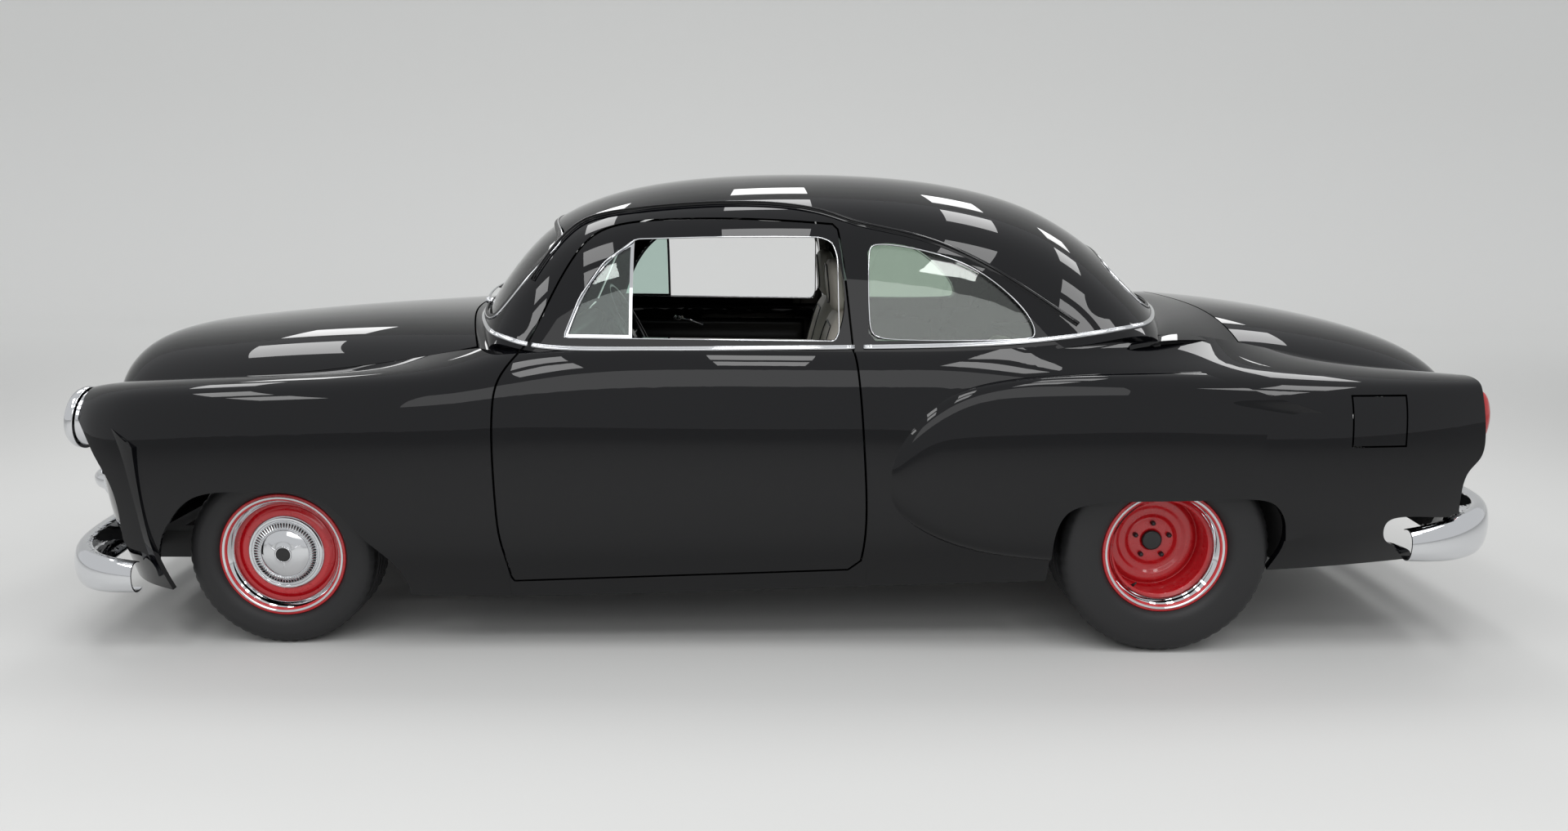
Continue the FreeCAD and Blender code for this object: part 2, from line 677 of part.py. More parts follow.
def closed_front_run(shares):
    """A closed smooth outline from the left half's shares."""
    left = [(width * half_width, height * size.roof_height) for width, height in shares]
    right = [(-y, z) for y, z in reversed(left[1:-1])]
    return left + right


def front_opening(shares, span, gap):
    """The prism of a front-view opening between two stations, grown by gap."""
    loop = grown([closed_front_run(shares)], gap)[0]
    points = [Vector(station(span[1]), y, z) for y, z in loop]
    curve = Part.BSplineCurve()
    curve.interpolate(Points=points, PeriodicFlag=True)
    face = Part.Face(Part.Wire([curve.toShape()]))
    return face.extrude(Vector(station(span[0]) - station(span[1]), 0, 0))


def roof_shell():
    """Roof, pillars and window frames in one pressing, hollow inside."""
    shell = wall_solid(greenhouse_outer, greenhouse_inner)
    shell = shell.cut(front_opening(WINDSHIELD_SHARES, WINDSHIELD_SPAN_SHARES, 0))
    shell = shell.cut(front_opening(REAR_WINDOW_SHARES, REAR_WINDOW_SPAN_SHARES, 0))
    for tool in (door_opening, quarter_window_tool):
        shell = shell.cut(tool).cut(mirrored(tool))
    return largest(shell)


def pane(shares, span):
    """A front or rear pane, seated in its opening."""
    glass = wall_solid(glass_outer, glass_inner)
    return largest(glass.common(front_opening(shares, span, -size.seat_gap)))


def side_pane(runs):
    """A side pane, seated in its opening."""
    glass = wall_solid(glass_outer, glass_inner)
    return largest(glass.common(side_prism(grown(runs, -size.seat_gap), INSIDE_SHARE, OUTSIDE_SHARE)))


roof = roof_shell()
keep("roof", roof)
keep("windshield", pane(WINDSHIELD_SHARES, WINDSHIELD_SPAN_SHARES))
keep("rear_window", pane(REAR_WINDOW_SHARES, REAR_WINDOW_SPAN_SHARES))
quarter_glass = side_pane(quarter_window)
keep("quarter_glass", Part.makeCompound([quarter_glass, mirrored(quarter_glass)]))
fender = front_fender(roof)
keep_both("front_fender", fender)
quarter = quarter_panel(roof)
keep_both("door", door())

# Fuel flap: a rectangle in the left quarter, as station and height shares
FUEL_FLAP_SHARES = ((1.4498, 0.556), (1.5920, 0.556), (1.5920, 0.458), (1.4498, 0.458))


def fuel_flap():
    """The flap and the opening that it closes."""
    runs = [side_points(FUEL_FLAP_SHARES[:2]), side_points(FUEL_FLAP_SHARES[2:])]
    flap_inner = offset_net(side_outer, size.fuel_flap_wall, towards_middle)
    flap = wall_solid(side_outer, flap_inner)
    flap = largest(flap.common(side_prism(runs, 0.7, OUTSIDE_SHARE)))
    opening = side_prism(grown(runs, size.panel_gap - 1), 0.7, OUTSIDE_SHARE)
    return flap, opening


flap, flap_opening = fuel_flap()
keep("fuel_flap", flap)
keep("quarter_left", largest(quarter.cut(flap_opening)))
keep("quarter_right", mirrored(quarter))

# Hood and trunk lid: each row is the middle's station and height share, then the seam's three shares
HOOD_SHARES = (
    ((-0.9650, 0.483), (-0.8187, 0.525, 0.483)),
    ((-0.9600, 0.540), (-0.8125, 0.546, 0.502)),
    ((-0.8938, 0.594), (-0.7625, 0.572, 0.518)),
    ((-0.7500, 0.633), (-0.6500, 0.598, 0.531)),
    ((-0.5000, 0.648), (-0.4500, 0.630, 0.545)),
    ((-0.1250, 0.668), (-0.1125, 0.664, 0.559)),
    ((0.0685, 0.683), (0.0787, 0.693, 0.582)),
    ((0.1369, 0.690), (0.1609, 0.716, 0.607)),
    ((0.1814, 0.694), (0.2194, 0.735, 0.631)),
)
TRUNK_SHARES = (
    ((1.1679, 0.718), (1.2482, 0.619, 0.642)),
    ((1.2643, 0.715), (1.3044, 0.628, 0.631)),
    ((1.4249, 0.702), (1.4329, 0.630, 0.614)),
    ((1.6257, 0.676), (1.6096, 0.625, 0.594)),
    ((1.7863, 0.642), (1.7462, 0.619, 0.580)),
    ((1.8827, 0.604), (1.8345, 0.609, 0.563)),
    ((1.9349, 0.534), (1.8827, 0.598, 0.521)),
    ((1.9390, 0.470), (1.8908, 0.588, 0.470)),
    ((1.9309, 0.394), (1.8867, 0.583, 0.394)),
)
# Across a lid from seam to middle: share of the seam's width, and of the way up to the middle
CROWN_SHARES = ((1, 0), (0.91, 0.36), (0.72, 0.76), (0.40, 0.96), (0, 1))


def lid_net(rows, gap):
    """A crowned lid's outer net; gap is taken off its width at the seams."""
    half_net = []
    for (middle_along, middle_up), (seam_along, seam_width, seam_up) in rows:
        middle = place(middle_along, 0, middle_up)
        seam = place(seam_along, seam_width, seam_up) - Vector(0, gap, 0)
        line = []
        for width, rise in CROWN_SHARES:
            x = seam.x + (middle.x - seam.x) * (1 - width ** 2)
            line.append(Vector(x, seam.y * width, seam.z + (middle.z - seam.z) * rise))
        half_net.append(line)
    return full_width_net(half_net)


def towards_frame(point):
    """A point low in the middle of the car, for the lids' normals."""
    return Vector(point.x * (1 - 1 / 8), 0, size.floor_height)


def lid(rows):
    """A lid with its inner stamping as one wall."""
    outer = lid_net(rows, size.panel_gap)
    return wall_solid(outer, offset_net(outer, size.lid_wall, towards_frame))


hood = lid(HOOD_SHARES)
keep("hood", hood)
trunk_lid = lid(TRUNK_SHARES)
keep("trunk_lid", trunk_lid)

hood_rear_net = lid_net(HOOD_SHARES[-1:], 0)[0]
trunk_front_net = lid_net(TRUNK_SHARES[:1], 0)[0]

# The cowl's two rear rows and the deck's three front rows, from the side to the middle
COWL_SHARES = (
    ((0.228, 0.810, 0.630), (0.226, 0.740, 0.648), (0.212, 0.585, 0.668), (0.200, 0.330, 0.684), (0.194, 0, 0.691)),
    ((0.242, 0.850, 0.636), (0.238, 0.760, 0.656), (0.224, 0.595, 0.672), (0.210, 0.330, 0.684), (0.203, 0, 0.688)),
    ((0.258, 0.860, 0.628), (0.252, 0.770, 0.640), (0.242, 0.595, 0.655), (0.226, 0.330, 0.664), (0.219, 0, 0.668)),
)
DECK_SHARES = (
    ((0.952, 0.835, 0.650), (0.972, 0.735, 0.662), (1.004, 0.580, 0.676), (1.040, 0.330, 0.684), (1.055, 0, 0.688)),
    ((0.985, 0.840, 0.664), (1.000, 0.752, 0.682), (1.035, 0.590, 0.699), (1.078, 0.330, 0.709), (1.103, 0, 0.713)),
    ((1.080, 0.760, 0.662), (1.096, 0.672, 0.674), (1.115, 0.520, 0.695), (1.132, 0.290, 0.712), (1.140, 0, 0.718)),
)


# How far behind its seat the hood is taken to clear the cowl, as shares of the panel gap
HOOD_ROOM_SHARES = (0.4, 0.8)


def bridge(rows, edge, edge_first, cutters):
    """A panel between a lid's edge and the greenhouse, cut clear of what it meets."""
    net = full_width_net([[place(*shares) for shares in line] for line in rows])
    net = [edge] + net if edge_first else net + [edge]
    panel = wall_solid(net, offset_net(net, size.front_panel_wall, towards_frame))
    for cutter in cutters:
        panel = panel.cut(cutter)
    return max(panel.Solids, key=lambda solid: abs(solid.BoundBox.Center.x))


hood_edge = [point - Vector(size.panel_gap, 0, 0) for point in hood_rear_net]
trunk_edge = [point + Vector(size.panel_gap, 0, 0) for point in trunk_front_net]
doors_opening = [door_opening, mirrored(door_opening)]
hood_room = [moved(hood, -share * size.panel_gap) for share in HOOD_ROOM_SHARES]
keep("cowl", bridge(COWL_SHARES, hood_edge, True,
                    [roof, fender, mirrored(fender)] + doors_opening + hood_room))
keep("deck", bridge(DECK_SHARES, trunk_edge, False, [roof, quarter, mirrored(quarter)]))

# Bumper irons: bars from the frame's rails out to the bumpers
FRONT_IRON_SHARES = (-0.75, -0.99)
REAR_IRON_SHARES = (1.78, 1.99)
IRON_HEIGHT_SHARE = 0.4
front_iron_low = size.frame_rail_floor + size.frame_rail_height * (1 - IRON_HEIGHT_SHARE)
rear_iron_low = size.frame_rail_floor + size.frame_kick_up


def iron(shares, low, gap):
    """A bumper iron on the left, grown by gap."""
    half = size.frame_rail_width / 4 + gap
    return box(
        Vector(station(shares[0]), size.frame_rail_y - half, low - gap),
        Vector(station(shares[1]), size.frame_rail_y + half, low + size.frame_rail_height * IRON_HEIGHT_SHARE + gap))


# Front panel: rows from the top down, columns from the left side to the middle
FRONT_PANEL_MIDDLE_SHARES = ((-0.9225, 0.467), (-0.9190, 0.381), (-0.9025, 0.286), (-0.8750, 0.210), (-0.8310, 0.134))
FRONT_PANEL_PLAN_SHARES = ((0.968, 0.425), (0.945, 0.345), (0.893, 0.262), (0.745, 0.131), (0.525, 0.048),
                           (0.262, 0.010), (0, 0))
FRONT_PANEL_LOW_SHARES = ((0.965, 0.420), (0.915, 0.330), (0.850, 0.244), (0.714, 0.131), (0.525, 0.048),
                          (0.262, 0.010), (0, 0))
FRONT_PANEL_FOOT_SHARES = ((0.925, 0.420), (0.885, 0.330), (0.830, 0.244), (0.714, 0.131), (0.525, 0.048),
                           (0.262, 0.010), (0, 0))
FRONT_PANEL_ROWS = (FRONT_PANEL_PLAN_SHARES,) * 3 + (FRONT_PANEL_LOW_SHARES, FRONT_PANEL_FOOT_SHARES)
FRONT_PANEL_TOP_SHARES = (0.440, 0.470, 0.500, 0.520, 0.480, 0.467, 0.467)
GRILLE_SHARES = ((0, 0.384), (0.18, 0.384), (0.36, 0.384), (0.50, 0.382), (0.59, 0.368), (0.640, 0.322),
                 (0.59, 0.276), (0.50, 0.262), (0.36, 0.260), (0.18, 0.260), (0, 0.260))
FRONT_PLATE_SHARE = 0.19
REAR_PLATE_SHARE = 0.31


def plate_holes(height_share, back_x, front_x):
    """Two holes for a licence plate's screws."""
    return [
        rod(
            Vector(back_x, side * size.plate_hole_spacing / 2, height_share * size.roof_height),
            Vector(front_x, side * size.plate_hole_spacing / 2, height_share * size.roof_height),
            size.plate_hole_radius)
        for side in (LEFT, RIGHT)
    ]


def front_panel():
    """The sheet between the fenders with the grille's opening and the lamps' holes."""
    half_net = []
    for index, (along, up) in enumerate(FRONT_PANEL_MIDDLE_SHARES):
        line = []
        for column, (width, drop) in enumerate(FRONT_PANEL_ROWS[index]):
            height = FRONT_PANEL_TOP_SHARES[column] if index == 0 else up
            line.append(place(along + drop, width, height))
        half_net.append(line)
    net = full_width_net(half_net)
    panel = wall_solid(net, offset_net(net, size.front_panel_wall, lambda point: Vector(0, 0, point.z)))
    panel = panel.cut(front_opening(GRILLE_SHARES, (NOSE_SHARE, 0), 0))
    holes = plate_holes(FRONT_PLATE_SHARE, front_axle_x, station(NOSE_SHARE))
    for tool in holes + [fender, lamp_hole, iron(FRONT_IRON_SHARES, front_iron_low, size.seat_gap)]:
        panel = panel.cut(tool).cut(mirrored(tool))
    return largest(panel)


front_sheet = front_panel()
keep("front_panel", front_sheet)

# Tail panel, in the same way, cut away where the trunk lid closes
TAIL_PANEL_MIDDLE_SHARES = ((1.8400, 0.545), (1.9150, 0.560), (1.9260, 0.480), (1.9240, 0.390), (1.9050, 0.300),
                            (1.8800, 0.215))
TAIL_PANEL_PLAN_SHARES = ((0.905, 0.160), (0.865, 0.110), (0.730, 0.050), (0.525, 0.020), (0.262, 0.005), (0, 0))
TAIL_PANEL_FOOT_SHARES = ((0.846, 0.122), (0.824, 0.092), (0.720, 0.050), (0.525, 0.020), (0.262, 0.005), (0, 0))
TAIL_PANEL_ROWS = (TAIL_PANEL_PLAN_SHARES,) * 4 + (TAIL_PANEL_FOOT_SHARES,) * 2
TAIL_PANEL_TOP_SHARES = (0.545, 0.562, 0.570, 0.545, 0.545, 0.545)
LID_FOOT_SHARE = 0.394


def tail_panel():
    """The sheet across the tail between the quarter panels."""
    half_net = []
    for index, (along, up) in enumerate(TAIL_PANEL_MIDDLE_SHARES):
        plan = TAIL_PANEL_ROWS[index]
        heights = TAIL_PANEL_TOP_SHARES if index == 0 else [up] * len(plan)
        half_net.append([place(along - drop, width, height) for (width, drop), height in zip(plan, heights)])
    net = full_width_net(half_net)
    panel = wall_solid(net, offset_net(net, size.front_panel_wall, lambda point: Vector(0, 0, point.z)))
    lid_half = TRUNK_SHARES[-1][1][1] * half_width + 2 * size.panel_gap
    low = Vector(station(1.5), -lid_half, LID_FOOT_SHARE * size.roof_height - 2 * size.panel_gap)
    high = Vector(station(END_SHARE), lid_half, size.roof_height)
    panel = panel.cut(box(low, high))
    corner_half = max(seam[1] for _, seam in TRUNK_SHARES[3:]) * half_width + size.panel_gap
    corner = Vector(station(1.5), -corner_half, TRUNK_SHARES[6][1][2] * size.roof_height)
    panel = panel.cut(box(corner, Vector(station(END_SHARE), corner_half, size.roof_height)))
    holes = plate_holes(REAR_PLATE_SHARE, station(END_SHARE), rear_axle_x)
    for tool in holes + [quarter, iron(REAR_IRON_SHARES, rear_iron_low, size.seat_gap)]:
        panel = panel.cut(tool).cut(mirrored(tool))
    return largest(panel)


keep("tail_panel", tail_panel())

# Bumpers: a domed section carried round a plan curve; each row is a station and a width share, then the
# section's share of its full height and the height share of its middle
FRONT_BUMPER_SHARES = (
    (-0.560, 0.958, 0.70, 0.160), (-0.700, 0.955, 0.80, 0.163), (-0.830, 0.900, 0.94, 0.168),
    (-0.925, 0.760, 1.00, 0.171), (-0.972, 0.520, 1.00, 0.172), (-0.9985, 0.260, 1.00, 0.172), (-1.0055, 0, 1.00, 0.172),
)
REAR_BUMPER_SHARES = (
    (1.645, 0.950, 0.62, 0.238), (1.740, 0.950, 0.78, 0.242), (1.860, 0.905, 0.97, 0.258),
    (1.945, 0.760, 1.00, 0.262), (1.985, 0.520, 0.97, 0.260), (2.000, 0.260, 0.94, 0.258), (2.003, 0, 0.94, 0.258),
)
# The section: share of the depth inwards and of the half height, from the upper lip round the face
BUMPER_SECTION_SHARES = (
    (1.00, 0.80), (0.60, 1.00), (0.12, 0.72), (0, 0), (0.12, -0.72), (0.60, -1.00), (1.00, -0.80),
)


def bumper(rows, height):
    """A pressed bumper that wraps round to both sides."""
    outline = [(station(along), width * half_width) for along, width, _, _ in rows]
    outline += [(x, -y) for x, y in reversed(outline[:-1])]
    sizes = [(tall, up) for _, _, tall, up in rows]
    sizes += list(reversed(sizes[:-1]))
    outer = []
    inner = []
    count = len(outline)
    for index in range(count):
        here = outline[index]
        before = outline[max(index - 1, 0)]
        after = outline[min(index + 1, count - 1)]
        normal = Vector(after[1] - before[1], before[0] - after[0], 0)
        normal.normalize()
        if normal.dot(Vector(here[0], here[1], 0)) > 0:
            normal = normal * -1
        tall, up = sizes[index]
        outer_line = []
        inner_line = []
        for inwards, rise in BUMPER_SECTION_SHARES:
            base = Vector(here[0], here[1], up * size.roof_height)
            depth = inwards * size.bumper_depth
            outer_line.append(base + normal * depth + Vector(0, 0, rise * tall * height / 2))
            wall = size.bumper_wall
            inner_line.append(
                base + normal * (depth + wall * (1 - inwards * inwards))
                + Vector(0, 0, rise * (tall * height / 2 - wall)))
        outer.append(outer_line)
        inner.append(inner_line)
    return wall_solid(outer, inner)


front_bumper = bumper(FRONT_BUMPER_SHARES, size.front_bumper_height)
rear_bumper = bumper(REAR_BUMPER_SHARES, size.rear_bumper_height)
keep("front_bumper", front_bumper)
keep("rear_bumper", rear_bumper)


# Wheels: turned profiles in sketches, each corner bound to the sheet as a radius and a distance outboard
WHEEL_PLANE = "XY_Plane"


def value_of(expression):
    """The number that an expression on the sheet gives."""
    names = {"Sizes": size}
    total = 0.0
    for term in expression.replace(" - ", " + -").split(" + "):
        sign = -1 if term.startswith("-") else 1
        product = 1.0
        for factor in term.lstrip("-").split(" * "):
            for number, piece in enumerate(factor.split(" / ")):
                amount = getattr(names["Sizes"], piece[len("Sizes."):]) if piece.startswith("Sizes.") else float(piece)
                product = product * amount if number == 0 else product / amount
        total += sign * product
    return total


def turned(name, corners):
    """A body turned about Y from a closed profile of radius and distance expressions."""
    body = doc.addObject("PartDesign::Body", name)
    body.Label = name
    sketch = body.newObject("Sketcher::SketchObject", name + "_profile")
    plane = [feature for feature in body.Origin.OriginFeatures if feature.Role == WHEEL_PLANE][0]
    sketch.AttachmentSupport = [(plane, "")]
    sketch.MapMode = "FlatFace"
    start = [Vector(value_of(radius), value_of(outboard), 0) for radius, outboard in corners]
    count = len(start)
    for index in range(count):
        sketch.addGeometry(Part.LineSegment(start[index], start[(index + 1) % count]), False)
    for index in range(count):
        sketch.addConstraint(Sketcher.Constraint("Coincident", index, 2, (index + 1) % count, 1))
    for index, (radius, outboard) in enumerate(corners):
        if start[index].x == 0:
            sketch.addConstraint(Sketcher.Constraint("PointOnObject", index, 1, -2))
        else:
            bound = sketch.addConstraint(Sketcher.Constraint("DistanceX", -1, 1, index, 1, start[index].x))
            sketch.setExpression("Constraints[%d]" % bound, radius)
        bound = sketch.addConstraint(Sketcher.Constraint("DistanceY", -1, 1, index, 1, start[index].y))
        sketch.setExpression("Constraints[%d]" % bound, outboard)
    feature = body.newObject("PartDesign::Revolution", name + "_turned")
    feature.Profile = sketch
    feature.ReferenceAxis = (sketch, ["V_Axis"])
    feature.Angle = 360
    parts.append(body)
    return body


def tyre_corners(end):
    """A tyre's section: bead, sidewall, shoulder and tread."""
    radius = "Sizes.%s_tyre_radius" % end
    width = "Sizes.%s_tyre_width" % end
    bead = "Sizes.%s_rim_width / 2 - Sizes.flange_thickness - Sizes.seat_gap" % end
    upper = [
        ("Sizes.bead_radius + Sizes.seat_gap", bead),
        ("Sizes.flange_radius + Sizes.seat_gap", bead),
        ("Sizes.flange_radius + Sizes.flange_thickness * 3", "%s * 0.49" % width),
        ("%s * 0.87" % radius, "%s * 0.50" % width),
        ("%s * 0.965" % radius, "%s * 0.455" % width),
        (radius, "%s * 0.36" % width),
    ]
    return upper + [(across, negative(outboard)) for across, outboard in reversed(upper)]


def negative(expression):
    """The same expression with every sign turned."""
    terms = expression.replace(" - ", " + -").split(" + ")
    turned_terms = [term[1:] if term.startswith("-") else "-" + term for term in terms]
    return " + ".join(turned_terms).replace("+ -", "- ")


def rim_corners(end, disc):
    """A wheel's section: flanges, bead seats, well, disc, hub and brake drum in one."""
    half = "Sizes.%s_rim_width / 2" % end
    wall = "Sizes.rim_thickness"
    flange = "Sizes.flange_radius"
    bead = "Sizes.bead_radius"
    well = "Sizes.rim_well_radius"
    bore = "Sizes.spindle_radius + Sizes.running_clearance"
    lip = "Sizes.flange_thickness"
    ledge = "Sizes.flange_radius * 0.18"
    back = "%s - Sizes.disc_thickness" % disc
    return [
        (flange, half), (flange, "%s - %s" % (half, lip)),
        (bead, "%s - %s" % (half, lip)), (bead, "%s - %s" % (half, ledge)),
        (well, "%s - %s - %s" % (half, ledge, lip)), (well, negative("%s - %s - %s" % (half, ledge, lip))),
        (bead, negative("%s - %s" % (half, ledge))), (bead, negative("%s - %s" % (half, lip))),
        (flange, negative("%s - %s" % (half, lip))), (flange, negative(half)),
        ("%s - %s" % (bead, wall), negative(half)), ("%s - %s" % (bead, wall), negative("%s - %s" % (half, ledge))),
        ("%s - %s" % (well, wall), negative("%s - %s - %s" % (half, ledge, lip))),
        ("%s - %s" % (well, wall), back), ("Sizes.brake_drum_radius", back),
        ("Sizes.brake_drum_radius", "%s - Sizes.brake_depth" % back), (bore, "%s - Sizes.brake_depth" % back),
        (bore, disc), ("Sizes.hub_radius * 0.5", "%s + Sizes.disc_thickness" % disc),
        ("Sizes.hub_radius", "%s + Sizes.disc_thickness" % disc), ("Sizes.hub_radius * 1.4", disc),
        ("%s - %s" % (well, wall), disc),
        ("%s - %s" % (well, wall), "%s - %s - %s" % (half, ledge, lip)),
        ("%s - %s" % (bead, wall), "%s - %s" % (half, ledge)), ("%s - %s" % (bead, wall), half),
    ]


FRONT_DISC = "Sizes.front_rim_width / 2 - Sizes.front_disc_inset"
REAR_DISC = "Sizes.rear_rim_width / 2 - Sizes.rear_disc_inset"


def hub_cap_corners():
    """A domed cap that seats on the front wheel's disc."""
    seat = "%s + Sizes.seat_gap" % FRONT_DISC
    deep = "%s + Sizes.hub_cap_depth" % seat
    wall = "Sizes.hub_cap_wall"
    radius = "Sizes.hub_cap_radius"
    return [
        (radius, seat), (radius, "%s + Sizes.hub_cap_depth * 0.45" % seat),
        ("%s * 0.94" % radius, "%s + Sizes.hub_cap_depth * 0.62" % seat),
        ("%s * 0.62" % radius, "%s + Sizes.hub_cap_depth * 0.74" % seat),
        ("%s * 0.56" % radius, "%s + Sizes.hub_cap_depth * 0.90" % seat),
        ("%s * 0.30" % radius, deep), ("0", deep), ("0", "%s - %s" % (deep, wall)),
        ("%s * 0.30" % radius, "%s - %s" % (deep, wall)),
        ("%s * 0.54" % radius, "%s + Sizes.hub_cap_depth * 0.90 - %s" % (seat, wall)),
        ("%s * 0.60" % radius, "%s + Sizes.hub_cap_depth * 0.74 - %s" % (seat, wall)),
        ("%s * 0.92" % radius, "%s + Sizes.hub_cap_depth * 0.62 - %s" % (seat, wall)),
        ("%s - %s" % (radius, wall), "%s + Sizes.hub_cap_depth * 0.45" % seat), ("%s - %s" % (radius, wall), seat),
    ]


def stand(body, axle_x, wheel_y, wheel_z, side):
    """Put a turned body at its wheel's place; the right side's is turned half round."""
    turn = Rotation(Vector(0, 0, 1), 0 if side == LEFT else 180)
    body.Placement = Placement(Vector(axle_x, side * wheel_y, wheel_z), turn)


for side, word in ((LEFT, "left"), (RIGHT, "right")):
    for end, axle_x, wheel_y, radius, disc in (
        ("front", front_axle_x, size.front_wheel_y, size.front_tyre_radius, FRONT_DISC),
        ("rear", rear_axle_x, size.rear_wheel_y, size.rear_tyre_radius, REAR_DISC),
    ):
        stand(turned("%s_tyre_%s" % (end, word), tyre_corners(end)), axle_x, wheel_y, radius, side)
        stand(turned("%s_wheel_%s" % (end, word), rim_corners(end, disc)), axle_x, wheel_y, radius, side)
    stand(turned("hub_cap_" + word, hub_cap_corners()), front_axle_x, size.front_wheel_y, size.front_tyre_radius, side)


# Axles, knuckles and suspension
front_disc_y = size.front_wheel_y + size.front_rim_width / 2 - size.front_disc_inset
rear_disc_y = size.rear_wheel_y + size.rear_rim_width / 2 - size.rear_disc_inset
king_pin_low = size.front_tyre_radius - size.knuckle_height / 2
king_pin_high = size.front_tyre_radius + size.knuckle_height / 2


def king_pin_point(height):
    """A point on the left king pin's axis."""
    return Vector(front_axle_x, size.king_pin_y, height)


def knuckle():
    """Upright with its pin and the spindle that carries the wheel."""
    reach = size.arm_thickness + size.seat_gap
    upright = rod(king_pin_point(king_pin_low), king_pin_point(king_pin_high), size.knuckle_radius)
    pin = rod(king_pin_point(king_pin_low - reach), king_pin_point(king_pin_high + reach), size.king_pin_radius)
    axle = Vector(front_axle_x, size.king_pin_y, size.front_tyre_radius)
    spindle = rod(axle, Vector(front_axle_x, front_disc_y - size.disc_thickness, size.front_tyre_radius),
                  size.spindle_radius)
    return fused([upright, pin, spindle])


keep_both("knuckle", knuckle())


def arm(height, inner_y):
    """A suspension arm from the frame to the king pin's eye."""
    half = size.arm_width / 2
    low = Vector(front_axle_x - half, inner_y, height)
    high = Vector(front_axle_x + half, size.king_pin_y, height + size.arm_thickness)
    eye = rod(king_pin_point(height), king_pin_point(height + size.arm_thickness), half)
    bore = rod(king_pin_point(height), king_pin_point(height + size.arm_thickness),
               size.king_pin_radius + size.running_clearance)
    return fused([box(low, high), eye]).cut(bore)


rail_outer_y = size.frame_rail_y + size.frame_rail_width / 2
rail_inner_y = size.frame_rail_y - size.frame_rail_width / 2
rail_top = size.frame_rail_floor + size.frame_rail_height
lower_arm = arm(king_pin_low - size.arm_thickness - size.seat_gap, rail_outer_y + size.seat_gap)
upper_arm = arm(king_pin_high + size.seat_gap, rail_outer_y + size.seat_gap)
keep("front_suspension", Part.makeCompound([lower_arm, mirrored(lower_arm), upper_arm, mirrored(upper_arm)]))


def rear_axle():
    """Axle tubes, differential housing and the spindles in the wheels' hubs."""
    centre = Vector(rear_axle_x, 0, size.rear_tyre_radius)
    tube_end = rear_disc_y - size.disc_thickness - size.brake_depth - size.panel_gap
    tube = rod(centre - Vector(0, tube_end, 0), centre + Vector(0, tube_end, 0), size.axle_tube_radius)
    reach = rear_disc_y - size.disc_thickness
    spindle = rod(centre - Vector(0, reach, 0), centre + Vector(0, reach, 0), size.spindle_radius)
    housing = Part.makeSphere(size.differential_radius, centre)
    return fused([tube, spindle, housing])


keep("rear_axle", rear_axle())

AXLE_NOSE_SHARE = 0.92
GEARBOX_SHARE = 0.40
ENGINE_FRONT_SHARE = -0.22


def drive_line():
    """Gearbox behind the engine and the shaft back to the differential."""
    nose_x = rear_axle_x + size.differential_radius + size.seat_gap
    joint_x = station(GEARBOX_SHARE)
    engine_rear = station(ENGINE_FRONT_SHARE) - size.engine_length
    height = size.rear_tyre_radius
    shaft = rod(Vector(nose_x, 0, height), Vector(joint_x, 0, height), size.shaft_radius)
    case = Part.makeCone(size.shaft_radius * 2.6, size.shaft_radius * 1.4, engine_rear - size.seat_gap - joint_x,
                         Vector(engine_rear - size.seat_gap, 0, height), Vector(-1, 0, 0))
    return fused([shaft, case])


keep("drive_line", drive_line())


# Frame: two boxed rails that kick up over the rear axle, joined by crossmembers
RAIL_SHARES = ((FRONT_IRON_SHARES[0], 0), (0.78, 0), (0.88, 1), (REAR_IRON_SHARES[0], 1))
CROSSMEMBER_SHARES = (-0.71, 0.37, 0.76, 1.20, 1.757)


# The exhaust's front end, the silencer's front end and the tail's end
EXHAUST_SHARES = (0.18, 0.50, 0.86)


def exhaust_point(share):
    """A point on the left exhaust's line."""
    return Vector(station(share), size.exhaust_y, size.frame_rail_floor + size.frame_rail_height / 2)


